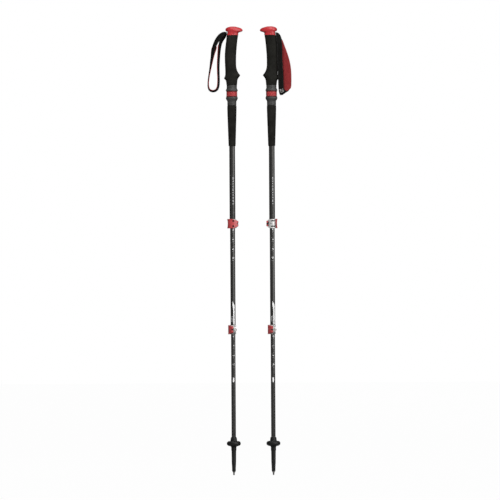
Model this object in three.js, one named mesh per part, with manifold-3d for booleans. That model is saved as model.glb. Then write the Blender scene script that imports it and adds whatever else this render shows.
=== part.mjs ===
// A pair of three-section telescopic walking poles with foam grips, sprung grips,
// wrist straps, two lever locks on each pole, a basket and a flexible tip.
// Millimetres, +Z up. Origin on the end of the left pole's carbide point.
// Each pole is built on the Z axis with the front of its grip towards +X. The right pole
// is then turned half round and set off along +X.
import * as THREE from 'three';
import { mergeVertices } from 'three/addons/utils/BufferGeometryUtils.js';
import Module from 'manifold-3d';

const wasm = await Module();
wasm.setup();

// ---------------------------------------------------------------- driving dimensions
const POLE_SPACING = 106;         // between the two pole axes
const TOTAL_LENGTH = 1200;        // point to top of cap, at the set length
const LEFT_LOWER_TURN = THREE.MathUtils.degToRad(-72);  // middle section, turned in the upper one
const RIGHT_LOWER_TURN = LEFT_LOWER_TURN + Math.PI;

const FACETS = 18;                // round a tube
const FIT = 0.3;                  // clearance between a part and its seat
const STACK_GAP = 0.4;            // between parts stacked along the pole

// tube sections: outside and bore radius, top end
const UPPER_R = 7.8, UPPER_BORE = 7.0, UPPER_TOP = 1111.6;
const MID_R = 6.65, MID_BORE = 6.1, MID_TOP = 832;
const LOWER_R = 5.85, LOWER_BORE = 5.05, LOWER_TOP = 560;
const GUIDE_RISE = 8;             // top of a guide bush above the end of its tube
const SPLIT_LENGTH = 20;          // saw cut in a tube's clamped end
const SPLIT_WIDTH = 1.4;

const UPPER_LOCK_Z = 673.0;       // middle of the upper lever lock
const LOWER_LOCK_Z = 389.5;       // middle of the lower lever lock
const LOCK_H = 25.0;              // height of a lock

// grip stack, from the cap down
const CAP_BOTTOM = 1176.9;
const FOAM_TOP = CAP_BOTTOM - STACK_GAP, FOAM_BOTTOM = 1043.3;
const UPPER_COLLAR_TOP = FOAM_BOTTOM - FIT, UPPER_COLLAR_BOTTOM = 1028.0;
const RING_TOP = UPPER_COLLAR_BOTTOM - STACK_GAP, RING_BOTTOM = 1012.2;
const LOWER_COLLAR_TOP = RING_BOTTOM - STACK_GAP, LOWER_COLLAR_BOTTOM = 989.6;
const EXTENSION_TOP = LOWER_COLLAR_BOTTOM - STACK_GAP, EXTENSION_BOTTOM = 880.5;
const CORE_R = 10.4;
const CORE_TOP = FOAM_TOP - 0.1;
const GRIP_BORE = UPPER_R + FIT;  // bore of the core, collars, ring and extension

// foot
const SHAFT_BOTTOM = 87.2;        // lower end of the lower tube, on the shoulder of the tip

// ---------------------------------------------------------------- mesh helpers
const vector2 = ([x, y]) => new THREE.Vector2(x, y);

function meshOf(positions, indices) {
  const geometry = new THREE.BufferGeometry();
  geometry.setAttribute('position', new THREE.BufferAttribute(new Float32Array(positions), 3));
  geometry.setIndex(indices);
  return geometry;
}

// six times the volume enclosed by a triangle mesh, negative when it is inside out
function signedVolume(p, indices) {
  let volume = 0;
  for (let i = 0; i < indices.length; i += 3) {
    const [a, b, c] = [indices[i] * 3, indices[i + 1] * 3, indices[i + 2] * 3];
    volume += p[a] * (p[b + 1] * p[c + 2] - p[b + 2] * p[c + 1])
      - p[a + 1] * (p[b] * p[c + 2] - p[b + 2] * p[c])
      + p[a + 2] * (p[b] * p[c + 1] - p[b + 1] * p[c]);
  }
  return volume;
}

// positions only, vertices merged, collapsed triangles dropped, faces turned outwards
function clean(source) {
  const stripped = source.clone();
  for (const key of Object.keys(stripped.attributes)) {
    if (key !== 'position') stripped.deleteAttribute(key);
  }
  const merged = mergeVertices(stripped, 1e-4);
  const positions = merged.attributes.position.array;
  const index = merged.index.array;
  const kept = [];
  for (let i = 0; i < index.length; i += 3) {
    const [a, b, c] = [index[i], index[i + 1], index[i + 2]];
    if (a !== b && b !== c && a !== c) kept.push(a, b, c);
  }
  if (signedVolume(positions, kept) < 0) {
    for (let i = 0; i < kept.length; i += 3) {
      [kept[i + 1], kept[i + 2]] = [kept[i + 2], kept[i + 1]];
    }
  }
  return meshOf(positions, kept);
}

function toSolid(geometry) {
  const cleaned = clean(geometry);
  return new wasm.Manifold(new wasm.Mesh({
    numProp: 3,
    vertProperties: new Float32Array(cleaned.attributes.position.array),
    triVerts: new Uint32Array(cleaned.index.array),
  }));
}
function fromSolid(solid) {
  const mesh = solid.getMesh();
  return meshOf(mesh.vertProperties, Array.from(mesh.triVerts));
}
const combine = (method) => (first, ...others) => fromSolid(
  others.reduce((solid, other) => solid[method](toSolid(other)), toSolid(first)));
const join = combine('add');
const cut = combine('subtract');
const common = combine('intersect');

// ---------------------------------------------------------------- shape helpers
// profile: [radius, z] pairs
function revolve(profile, facets) {
  const geometry = new THREE.LatheGeometry(profile.map(vector2), facets);
  geometry.rotateX(Math.PI / 2);
  return geometry;
}
// outline: [radius, z] pairs, closed square across to the axis at both ends
function turned(outline, facets = FACETS) {
  return revolve([[0, outline[0][1]], ...outline, [0, outline.at(-1)[1]]], facets);
}
// outline: [radius, z] pairs, closed square across to the bore at both ends
function turnedBored(bore, outline, facets = FACETS) {
  const start = [bore, outline[0][1]];
  return revolve([start, ...outline, [bore, outline.at(-1)[1]], start], facets);
}
const sleeve = (radius, bore, z0, z1) => turnedBored(bore, [[radius, z0], [radius, z1]]);

function rod(radius, z0, z1, facets = FACETS, x = 0, y = 0) {
  const geometry = turned([[radius, z0], [radius, z1]], facets);
  geometry.translate(x, y, 0);
  return geometry;
}
// rod along Y
function crossRod(radius, [y0, y1], x, z, facets) {
  const geometry = new THREE.CylinderGeometry(radius, radius, y1 - y0, facets);
  geometry.translate(x, (y0 + y1) / 2, z);
  return geometry;
}
function box([x0, x1], [y0, y1], [z0, z1]) {
  const geometry = new THREE.BoxGeometry(x1 - x0, y1 - y0, z1 - z0);
  geometry.translate((x0 + x1) / 2, (y0 + y1) / 2, (z0 + z1) / 2);
  return geometry;
}
function extrude(points, depth) {
  const shape = new THREE.Shape(points.map(vector2));
  return new THREE.ExtrudeGeometry(shape, { depth, bevelEnabled: false });
}
// [x, y] outline, extruded along Z
function plateXY(points, z0, z1) {
  const geometry = extrude(points, z1 - z0);
  geometry.translate(0, 0, z0);
  return geometry;
}
// [x, z] outline, extruded along Y
function plateXZ(points, y0, y1) {
  const geometry = extrude(points, y1 - y0);
  geometry.rotateX(Math.PI / 2);
  geometry.translate(0, y1, 0);
  return geometry;
}
// [x, y] points on an arc about the axis, angles in degrees
function arc(radius, from, to, steps) {
  return Array.from({ length: steps + 1 }, (_, i) => {
    const angle = (from + (to - from) * (i / steps)) * Math.PI / 180;
    return [radius * Math.cos(angle), radius * Math.sin(angle)];
  });
}

// closed skin through a stack of rings of [x, y, z] points, capped at both ends
function loft(rings) {
  const count = rings[0].length;
  const positions = rings.flat(2);
  const indices = [];
  for (let i = 0; i < rings.length - 1; i++) {
    for (let j = 0; j < count; j++) {
      const a = i * count + j;
      const b = i * count + (j + 1) % count;
      indices.push(a, b, b + count, a, b + count, a + count);
    }
  }
  for (const k of [0, rings.length - 1]) {
    const centre = [0, 1, 2].map((axis) => rings[k].reduce((sum, p) => sum + p[axis] / count, 0));
    const centreIndex = positions.length / 3;
    positions.push(...centre);
    for (let j = 0; j < count; j++) {
      const a = k * count + j;
      const b = k * count + (j + 1) % count;
      indices.push(centreIndex, ...(k === 0 ? [b, a] : [a, b]));
    }
  }
  return meshOf(positions, indices);
}

// ---------------------------------------------------------------- grip
const SECTION_POWER = 2.25;       // squareness of the grip sections, 2 is an ellipse

// z, rear x, front x, half width
const GRIP_PROFILE = [
  [FOAM_TOP, -12.8, 17.6, 14.2], [1163, -14.4, 15.6, 13.7], [1150, -16.0, 14.3, 13.5],
  [1137, -17.4, 13.2, 13.5], [1122, -18.3, 12.0, 13.7], [1106, -18.0, 11.8, 13.8],
  [1091, -17.5, 12.4, 13.7], [1082.5, -17.2, 14.6, 13.8], [1076, -17.2, 17.8, 14.1],
  [1070, -17.4, 22.0, 14.5], [1066, -18.4, 19.8, 14.5], [1062, -19.8, 17.0, 14.2],
  [1057, -16.0, 15.2, 13.9], [1051, -14.5, 14.5, 13.7], [FOAM_BOTTOM, -14.0, 14.0, 13.6],
];
// z, rear x, front x, half width, nose: how far the front half narrows
const CAP_PROFILE = [
  [CAP_BOTTOM, -12.0, 18.0, 14.2, 0.1], [1181.5, -11.8, 19.4, 14.5, 0.16],
  [1185.8, -12.0, 23.4, 14.9, 0.24], [1188.2, -14.0, 28.8, 15.5, 0.34],
  [1190.6, -15.7, 29.8, 15.9, 0.36], [1193.4, -16.2, 28.6, 15.7, 0.34],
  [1196.4, -14.4, 24.2, 14.0, 0.24], [1198.8, -9.6, 16.6, 10.6, 0.1],
  [TOTAL_LENGTH, -5.0, 10.6, 6.6, 0.0],
];
const SPIGOT_R = GRIP_BORE - FIT, SPIGOT_BOTTOM = 1158.4;
const ANCHOR = { x: -4.6, z: 1183.4, radius: 1.5, halfLength: 10.2 };
const STRAP_SLOT = { frontX: -1.5, halfWidth: 8.2, halfHeight: 4 };

// rounded section between a rear and a front offset
function gripSection([z, rear, front, halfWidth, nose = 0], count) {
  const middle = (rear + front) / 2;
  const halfLength = (front - rear) / 2;
  const rounded = (value) => Math.sign(value) * Math.abs(value) ** (2 / SECTION_POWER);
  return Array.from({ length: count }, (_, i) => {
    const angle = (i / count) * 2 * Math.PI;
    const x = rounded(Math.cos(angle));
    const y = rounded(Math.sin(angle));
    return [middle + halfLength * x, halfWidth * y * (1 - nose * Math.max(0, x)), z];
  });
}
const loftProfile = (profile, count) => loft(profile.map((row) => gripSection(row, count)));

const anchorRod = (radius, half) => crossRod(radius, [-half, half], ANCHOR.x, ANCHOR.z, 12);
const strapAnchorPin = () => anchorRod(ANCHOR.radius, ANCHOR.halfLength);

function topCap() {
  const { frontX, halfWidth, halfHeight } = STRAP_SLOT;
  const dome = loftProfile(CAP_PROFILE, 18);
  const spigot = rod(SPIGOT_R, SPIGOT_BOTTOM, CAP_BOTTOM + 2);
  // strap slot, open at the back
  const slot = box([-30, frontX], [-halfWidth, halfWidth],
    [ANCHOR.z - halfHeight, ANCHOR.z + halfHeight]);
  const pinSeat = anchorRod(ANCHOR.radius + FIT, ANCHOR.halfLength + 0.4);
  return cut(join(dome, spigot), slot, pinSeat);
}
const strapLockWedge = () => plateXZ(
  [[-10.6, 1184.9], [-7.0, 1184.9], [-6.9, 1187.1], [-10.6, 1187.1]], -7.6, 7.6);

const gripFoam = () => cut(loftProfile(GRIP_PROFILE, 16),
  rod(CORE_R + FIT, FOAM_BOTTOM - 5, FOAM_TOP + 5));

const upperCollar = () => turnedBored(GRIP_BORE, [
  [15.8, UPPER_COLLAR_BOTTOM], [15.9, 1030.2], [14.4, 1033.0], [13.7, UPPER_COLLAR_TOP]]);

// ---------------------------------------------------------------- shock unit
const SEAT_TOP = 1115.0;
const SPRING_END_GAP = 1.3;       // from the spring's centre line to the seat and the spigot
const SPRING = {
  bottom: SEAT_TOP + SPRING_END_GAP, top: SPIGOT_BOTTOM - SPRING_END_GAP,
  turns: 4, radius: 5.6, wireRadius: 0.95, wireFacets: 5, steps: 36,
};
const RING_R = 14.8;

// plug in the top of the upper tube, with a flange over its end
function springSeat() {
  const flangeBottom = UPPER_TOP + FIT;
  return join(rod(UPPER_BORE - FIT, 1099.2, flangeBottom + 0.5, 14),
    rod(7.7, flangeBottom, SEAT_TOP, 14));
}

class Helix extends THREE.Curve {
  getPoint(t, target = new THREE.Vector3()) {
    const { bottom, top, turns, radius } = SPRING;
    const angle = t * turns * 2 * Math.PI;
    return target.set(radius * Math.cos(angle), radius * Math.sin(angle),
      bottom + (top - bottom) * t);
  }
}
// coil spring between the seat on the tube and the spigot under the cap
function shockSpring() {
  const { wireRadius, wireFacets, steps } = SPRING;
  const wire = arc(wireRadius, 0, 360, wireFacets).slice(0, -1);
  return new THREE.ExtrudeGeometry(new THREE.Shape(wire.map(vector2)),
    { extrudePath: new Helix(), steps, bevelEnabled: false });
}

const damperRing = () => turnedBored(GRIP_BORE, [
  [14.2, RING_BOTTOM], [RING_R, RING_BOTTOM + 3], [RING_R, RING_TOP - 4.2], [14.4, RING_TOP]]);

const lowerCollar = () => turnedBored(GRIP_BORE, [
  [12.0, LOWER_COLLAR_BOTTOM], [12.1, 1000.6], [15.6, 1006.6], [15.8, 1009.4],
  [15.4, LOWER_COLLAR_TOP]]);

const gripExtension = () => turnedBored(GRIP_BORE, [
  [9.4, EXTENSION_BOTTOM], [9.7, 890], [10.4, 912], [11.1, 936], [11.9, 961],
  [12.4, 978], [12.4, EXTENSION_TOP]]);

// ---------------------------------------------------------------- tubes
// tube whose lower end sits just inside a lock and is sawn open on its +X side
function splitTube(radius, bore, lockZ, top) {
  const bottom = lockZ - LOCK_H / 2 + 1;
  return cut(sleeve(radius, bore, bottom, top),
    box([0, radius + 2], [-SPLIT_WIDTH / 2, SPLIT_WIDTH / 2],
      [bottom - 1, bottom + SPLIT_LENGTH]));
}
const midGuideBush = () => sleeve(MID_R + 0.1, MID_BORE, MID_TOP + FIT, MID_TOP + GUIDE_RISE);
const lowerGuideBush = () => rod(LOWER_R + 0.03, LOWER_TOP + FIT, LOWER_TOP + GUIDE_RISE);

// ---------------------------------------------------------------- lever lock
// Centred on z = 0. The ears stand out from the tube along +X, the screw crosses them
// along Y, and the lever pivots on the -Y side and wraps round towards -X.
const BAND_WALL = 0.9, BAND_GAP = 0.2;
const EAR_IN = 0.9, EAR_OUT = 2.9;              // inner and outer faces of an ear, in y
const PIVOT_X = 12.4, PIVOT_Y = -6.6;
const HEAD_R = 3.3, BARREL_R = 2.2, SCREW_R = 1.3;
const LEVER_IN = 10.6, LEVER_OUT = 13.4;        // radii of the lever's arm about the tube
const LEVER_ARC = { innerStart: -52, outerStart: -62, end: -166, steps: 9 };    // degrees
// x, z
const LEVER_OUTLINE = [
  [-14.6, -12.5], [-9, -12.5], [2, -12.0], [6.5, -10.9], [10.5, -8.4], [16.2, -6.8],
  [16.2, 6.8], [10.5, 8.4], [6.5, 10.9], [2, 12.0], [-9, 12.5], [-14.6, 12.5],
  [-13.4, 7], [-12.9, 0], [-13.4, -7],
];

const pivotRod = (radius, half, facets) => rod(radius, -half, half, facets, PIVOT_X, PIVOT_Y);

function lockBand(tubeR) {
  const inner = tubeR + BAND_GAP;
  const outer = inner + BAND_WALL;
  const half = LOCK_H / 2 - 0.3;
  const mouthAngle = (y, radius) => Math.asin(y / radius) * 180 / Math.PI;
  const innerMouth = mouthAngle(EAR_IN, inner);
  const outerMouth = mouthAngle(EAR_OUT, outer);
  const ring = plateXY([...arc(outer, outerMouth, 360 - outerMouth, 24),
    ...arc(inner, 360 - innerMouth, innerMouth, 24)], -half, half);
  const earOutline = [
    [outer - 0.7, -half + 0.2], [outer + 0.6, -half + 0.6],
    [PIVOT_X + 1.8, -7.4], [PIVOT_X + 3.0, -5.6], [PIVOT_X + 3.0, 5.6], [PIVOT_X + 1.8, 7.4],
    [outer + 0.6, half - 0.6], [outer - 0.7, half - 0.2]];
  const ears = [[EAR_IN, EAR_OUT], [-EAR_OUT, -EAR_IN]]
    .map(([y0, y1]) => plateXZ(earOutline, y0, y1));
  const screwHole = crossRod(SCREW_R + 0.35, [-6, 6], PIVOT_X, 0, 10);
  // two windows in the +Y side of the band
  const windows = [[5.6, 8.6], [-9.2, -5.8]]
    .map((zRange) => box([-outer - 2, 3.4], [0.8, outer + 2], zRange));
  return cut(join(ring, ...ears), screwHole, ...windows);
}

function lockLever() {
  const { innerStart, outerStart, end, steps } = LEVER_ARC;
  const head = pivotRod(HEAD_R, LOCK_H, 16);
  // plan of the arm: outer face, free end, inner face, root in the head
  const arm = plateXY([
    ...arc(LEVER_OUT, outerStart, end, steps),
    [-LEVER_OUT - 0.8, 0.2], [-LEVER_OUT + 0.2, 1.6], [-LEVER_IN - 0.4, -0.6],
    ...arc(LEVER_IN, end, innerStart, steps),
    [9.2, PIVOT_Y], [PIVOT_X, PIVOT_Y], [PIVOT_X, PIVOT_Y - HEAD_R + 0.05],
  ], -LOCK_H, LOCK_H);
  const bore = pivotRod(BARREL_R + FIT, LOCK_H, 12);
  // notch in the middle of the head, round the screw
  const notchZ = [-2.9, 2.9];
  return cut(common(join(head, arm), plateXZ(LEVER_OUTLINE, -20, 20)), bore,
    box([PIVOT_X - 2.2, PIVOT_X + 6], [PIVOT_Y, PIVOT_Y + 6], notchZ),
    box([PIVOT_X - 0.2, PIVOT_X + 6], [PIVOT_Y - 6, PIVOT_Y + 0.2], notchZ));
}

// pivot pin of the lever, cross-drilled for the screw
const lockBarrel = () => cut(pivotRod(BARREL_R, 6.4, 12),
  crossRod(SCREW_R + 0.25, [PIVOT_Y - 1.1, PIVOT_Y + 5], PIVOT_X, 0, 8));

function lockScrew() {
  const shank = crossRod(SCREW_R, [PIVOT_Y - 0.8, EAR_OUT + 1.5], PIVOT_X, 0, 8);
  const head = crossRod(2.6, [EAR_OUT + 0.3, EAR_OUT + 2.4], PIVOT_X, 0, 12);
  const slot = box([PIVOT_X - 4, PIVOT_X + 4], [EAR_OUT + 1.5, EAR_OUT + 4], [-0.4, 0.4]);
  return cut(join(shank, head), slot);
}

// ---------------------------------------------------------------- foot of the pole
const BASKET_TOP = 101.6, BASKET_BOTTOM = 65.4, BASKET_R = 18.8;
const WINDOWS = { count: 6, pitchRadius: 13.6, radius: 2.4 };
const TIP_TOP = 118, TIP_BOTTOM = 9.9;
const TIP_NECK_R = 5.9;           // under the basket
const TIP_SHOULDER = SHAFT_BOTTOM - STACK_GAP;
const FERRULE_BOTTOM = 6.7, FERRULE_TOP = 25.6, FERRULE_R = 3.4;
const POINT_TOP = 13.7, POINT_R = 2.1;
const FOOT_FIT = 0.25;            // radial clearance of the plug, ferrule and point

function basket() {
  const body = turnedBored(TIP_NECK_R + FIT, [
    [7.1, BASKET_TOP], [8.4, 97.2], [10.2, 92.6], [15.6, 89.6], [18.0, 86.9],
    [BASKET_R, 85.0], [BASKET_R, 83.8], [17.8, 82.0], [14.4, 79.4], [8.0, 77.0],
    [7.0, 75.4], [7.0, BASKET_BOTTOM]], 20);
  const windows = Array.from({ length: WINDOWS.count }, (_, i) => {
    const angle = (i + 0.5) * 2 * Math.PI / WINDOWS.count;
    return rod(WINDOWS.radius, 70, 95, 8,
      WINDOWS.pitchRadius * Math.cos(angle), WINDOWS.pitchRadius * Math.sin(angle));
  });
  return cut(body, ...windows);
}

// from the ferrule's socket, round the outside, to the plug in the lower tube
function flexTip() {
  const socketR = FERRULE_R + FOOT_FIT;
  const plugR = LOWER_BORE - FOOT_FIT;
  return turned([
    [socketR, FERRULE_TOP + STACK_GAP], [socketR, TIP_BOTTOM], [4.7, TIP_BOTTOM],
    [5.0, 13], [5.2, 21], [5.6, 29], [5.9, 36], [6.2, 64.9],
    [TIP_NECK_R, 65.1], [TIP_NECK_R, TIP_SHOULDER], [plugR, TIP_SHOULDER], [plugR, TIP_TOP]]);
}

function tipFerrule() {
  const socketR = POINT_R + FOOT_FIT;
  return turned([
    [socketR, POINT_TOP + FIT], [socketR, FERRULE_BOTTOM], [3.1, FERRULE_BOTTOM],
    [FERRULE_R, 7.6], [FERRULE_R, FERRULE_TOP]], 14);
}

const carbidePoint = () => turned([[1.3, 0], [POINT_R, 1.8], [POINT_R, POINT_TOP]], 12);

// ---------------------------------------------------------------- wrist straps
// The run nearer the grip is plain webbing, the far run and the bottom of the loop are
// wider and padded.
const WEB = 14.6, PAD = 22.4;     // widths
const STRAP_THICKNESS = 2.8;

// hanging edge-on, the loop in the XZ plane and its width along Y: x, z, width
const EDGE_ON_STRAP = [
  [-13.4, 1183.0, WEB], [-20.5, 1179.6, WEB], [-31.0, 1171.0, WEB], [-40.0, 1158.8, 17],
  [-47.5, 1143.0, 20], [-52.5, 1124.5, 22], [-56.2, 1104.0, PAD], [-59.2, 1082.5, PAD],
  [-62.4, 1061.0, PAD], [-63.6, 1046.0, PAD], [-60.6, 1034.0, PAD], [-51.6, 1027.6, PAD],
  [-41.8, 1030.8, PAD], [-36.0, 1041.0, 21], [-34.2, 1056.0, 18], [-34.8, 1077.0, WEB],
  [-34.8, 1104.0, WEB], [-33.2, 1126.0, WEB], [-31.0, 1144.6, WEB], [-27.2, 1159.4, WEB],
  [-20.1, 1169.9, WEB], [-15.6, 1175.6, WEB],
].map(([x, z, width]) => [x, 0, z, 0, 1, width]);

// hanging broadside, the two runs of the loop one behind the other:
// x, y, z, width direction x, width direction y, width
const BROADSIDE_STRAP = [
  [-13.4, 0, 1183.0, 0, 1, WEB], [-19.6, 1.6, 1179.6, 0.45, 0.9, WEB],
  [-23.4, 6.0, 1170.0, 0.85, 0.5, WEB], [-24.4, 10.2, 1157.0, 1, 0.1, WEB],
  [-24.6, 11.0, 1138.0, 1, 0, WEB], [-24.6, 11.0, 1100.0, 1, 0, WEB],
  [-24.8, 10.8, 1060.0, 1, 0, WEB], [-26.0, 9.6, 1038.0, 1, 0, 16],
  [-28.6, 6.4, 1025.5, 1, 0, 19], [-33.4, 0.6, 1020.6, 1, 0, 21],
  [-38.2, -4.4, 1026.0, 1, 0, PAD], [-41.6, -6.2, 1040.0, 1, 0, PAD],
  [-42.6, -6.4, 1064.0, 1, 0, PAD], [-41.2, -6.2, 1086.0, 1, 0, PAD],
  [-37.4, -5.6, 1106.0, 1, 0, 21], [-32.2, -4.6, 1126.0, 1, 0.1, 19],
  [-27.6, -3.4, 1144.0, 1, 0.3, 17], [-24.2, -2.0, 1158.0, 0.7, 0.7, WEB],
  [-20.4, -0.8, 1168.6, 0.3, 0.95, WEB], [-16.4, 0, 1175.8, 0, 1, WEB],
];

// flat webbing along a path, its width direction squared to the run at each point
function wristStrap(path) {
  const points = path.map(([x, y, z]) => new THREE.Vector3(x, y, z));
  return loft(path.map(([, , , widthX, widthY, width], i) => {
    const before = points[Math.max(i - 1, 0)];
    const after = points[Math.min(i + 1, points.length - 1)];
    const along = new THREE.Vector3().subVectors(after, before).normalize();
    const across = new THREE.Vector3(widthX, widthY, 0);
    across.addScaledVector(along, -across.dot(along)).normalize();
    const normal = new THREE.Vector3().crossVectors(along, across).normalize();
    return [[1, 1], [-1, 1], [-1, -1], [1, -1]].map(([side, face]) => points[i].clone()
      .addScaledVector(across, side * width / 2)
      .addScaledVector(normal, face * STRAP_THICKNESS / 2)
      .toArray());
  }));
}

// ---------------------------------------------------------------- materials
// rgb is linear
const LOOKS = {
  capRed: { rgb: [0.52, 0.045, 0.05], roughness: 0.4, metalness: 0 },
  leverRed: { rgb: [0.5, 0.06, 0.065], roughness: 0.35, metalness: 0.1 },
  foam: { rgb: [0.018, 0.018, 0.017], roughness: 0.95, metalness: 0 },
  core: { rgb: [0.05, 0.05, 0.05], roughness: 0.6, metalness: 0 },
  collar: { rgb: [0.05, 0.051, 0.052], roughness: 0.5, metalness: 0 },
  shaft: { rgb: [0.075, 0.077, 0.08], roughness: 0.35, metalness: 0.8 },
  silver: { rgb: [0.72, 0.72, 0.72], roughness: 0.28, metalness: 0.9 },
  steel: { rgb: [0.5, 0.5, 0.5], roughness: 0.3, metalness: 1 },
  strap: { rgb: [0.02, 0.02, 0.02], roughness: 0.9, metalness: 0 },
  black: { rgb: [0.03, 0.03, 0.031], roughness: 0.5, metalness: 0 },
  spring: { rgb: [0.42, 0.42, 0.43], roughness: 0.35, metalness: 1 },
  carbide: { rgb: [0.35, 0.34, 0.33], roughness: 0.4, metalness: 1 },
};
function material(look) {
  const { rgb, roughness, metalness } = LOOKS[look];
  const result = new THREE.MeshStandardMaterial({ roughness, metalness });
  result.color.setRGB(...rgb);
  return result;
}

// ---------------------------------------------------------------- assembly
function namedMesh(name, source, look) {
  const geometry = clean(source);
  geometry.computeVertexNormals();
  const mesh = new THREE.Mesh(geometry, material(look));
  mesh.name = name;
  return mesh;
}

function pole(side, strapPath, lowerTurn) {
  const whole = new THREE.Group();
  const add = (name, geometry, look, parent = whole) => {
    parent.add(namedMesh(`${side}_${name}`, geometry, look));
  };
  const addGroup = (z, turn) => {
    const group = new THREE.Group();
    group.position.z = z;
    group.rotation.z = turn;
    whole.add(group);
    return group;
  };

  add('top_cap', topCap(), 'capRed');
  add('strap_anchor_pin', strapAnchorPin(), 'steel');
  add('strap_lock_wedge', strapLockWedge(), 'black');
  add('grip_foam', gripFoam(), 'foam');
  add('grip_core', sleeve(CORE_R, GRIP_BORE, FOAM_BOTTOM, CORE_TOP), 'core');
  add('upper_collar', upperCollar(), 'collar');
  add('wrist_strap', wristStrap(strapPath), 'strap');

  add('spring_seat', springSeat(), 'black');
  add('shock_spring', shockSpring(), 'spring');
  add('damper_ring', damperRing(), 'leverRed');
  add('lower_collar', lowerCollar(), 'collar');
  add('grip_extension_foam', gripExtension(), 'foam');

  add('upper_shaft', splitTube(UPPER_R, UPPER_BORE, UPPER_LOCK_Z, UPPER_TOP), 'shaft');
  add('mid_guide_bush', midGuideBush(), 'black');
  const midGroup = addGroup(0, lowerTurn);
  add('mid_shaft', splitTube(MID_R, MID_BORE, LOWER_LOCK_Z, MID_TOP), 'shaft', midGroup);
  add('lower_guide_bush', lowerGuideBush(), 'black');
  add('lower_shaft', sleeve(LOWER_R, LOWER_BORE, SHAFT_BOTTOM, LOWER_TOP), 'shaft');

  const locks = [
    { level: 'upper', tubeR: UPPER_R, z: UPPER_LOCK_Z, turn: 0 },
    { level: 'lower', tubeR: MID_R, z: LOWER_LOCK_Z, turn: lowerTurn },
  ];
  for (const { level, tubeR, z, turn } of locks) {
    const group = addGroup(z, turn);
    add(`${level}_lock_band`, lockBand(tubeR), 'silver', group);
    add(`${level}_lock_lever`, lockLever(), 'leverRed', group);
    add(`${level}_lock_barrel`, lockBarrel(), 'steel', group);
    add(`${level}_lock_screw`, lockScrew(), 'steel', group);
  }

  add('basket', basket(), 'black');
  add('flex_tip', flexTip(), 'black');
  add('tip_ferrule', tipFerrule(), 'steel');
  add('carbide_point', carbidePoint(), 'carbide');
  return whole;
}

const poles = new THREE.Group();
const left = pole('left', EDGE_ON_STRAP, LEFT_LOWER_TURN);
const right = pole('right', BROADSIDE_STRAP, RIGHT_LOWER_TURN);
right.position.x = POLE_SPACING;
right.rotation.z = Math.PI;
poles.add(left, right);

export default poles;
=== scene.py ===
"""A pair of telescopic poles with foam grips, lever locks and wrist straps, standing upright.

Row frame: metres, +Z up, points at z = 0, seen from -Y. Each piece is modelled in its pole's own
frame in millimetres: the pole's axis is z and the cap's nose points to +x. The right pole is
turned half round, so its nose points to -x of the row.
"""
import math

import bmesh
import bpy
from mathutils import Matrix, Vector


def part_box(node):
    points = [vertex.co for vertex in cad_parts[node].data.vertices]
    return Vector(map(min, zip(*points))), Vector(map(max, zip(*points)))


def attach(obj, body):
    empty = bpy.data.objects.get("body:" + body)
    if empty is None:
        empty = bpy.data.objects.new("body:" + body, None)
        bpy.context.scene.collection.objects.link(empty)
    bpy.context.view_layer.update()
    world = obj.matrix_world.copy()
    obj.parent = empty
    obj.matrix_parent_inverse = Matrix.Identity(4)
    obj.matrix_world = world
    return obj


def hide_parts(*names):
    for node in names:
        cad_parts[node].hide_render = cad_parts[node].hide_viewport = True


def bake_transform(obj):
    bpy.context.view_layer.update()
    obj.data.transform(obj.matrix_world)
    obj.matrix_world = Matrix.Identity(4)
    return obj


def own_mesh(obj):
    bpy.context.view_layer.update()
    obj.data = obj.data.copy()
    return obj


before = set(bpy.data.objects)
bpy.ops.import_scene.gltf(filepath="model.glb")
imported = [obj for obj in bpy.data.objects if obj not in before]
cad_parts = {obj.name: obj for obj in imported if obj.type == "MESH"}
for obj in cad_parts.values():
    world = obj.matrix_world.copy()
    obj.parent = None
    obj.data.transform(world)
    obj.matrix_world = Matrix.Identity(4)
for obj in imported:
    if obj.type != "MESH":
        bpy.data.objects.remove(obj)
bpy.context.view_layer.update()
scene = bpy.context.scene
MM = 0.001


def centre_mm(node, axis):
    """middle of a frame node's box along one axis, in millimetres"""
    low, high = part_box(node)
    return (low[axis] + high[axis]) / 2 / MM


def ends_mm(node):
    """lower and upper end of a frame node's box, in millimetres"""
    low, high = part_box(node)
    return low[2] / MM, high[2] / MM


SIDES = ("left", "right")
POLE_X = {side: centre_mm(f"{side}_damper_ring", 0) for side in SIDES}
ROW_X = 0.053               # middle of the row, metres
BORE = 8.1                  # hole through the collars, the ring and the extension foam
UPPER_R, MID_R, LOWER_R = 7.8, 6.65, 5.85       # tubes, outside
# the mid tube and its lock are turned to face the same way in the row on both poles
MID_TURN = {"left": math.radians(-72), "right": math.radians(108)}


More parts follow.
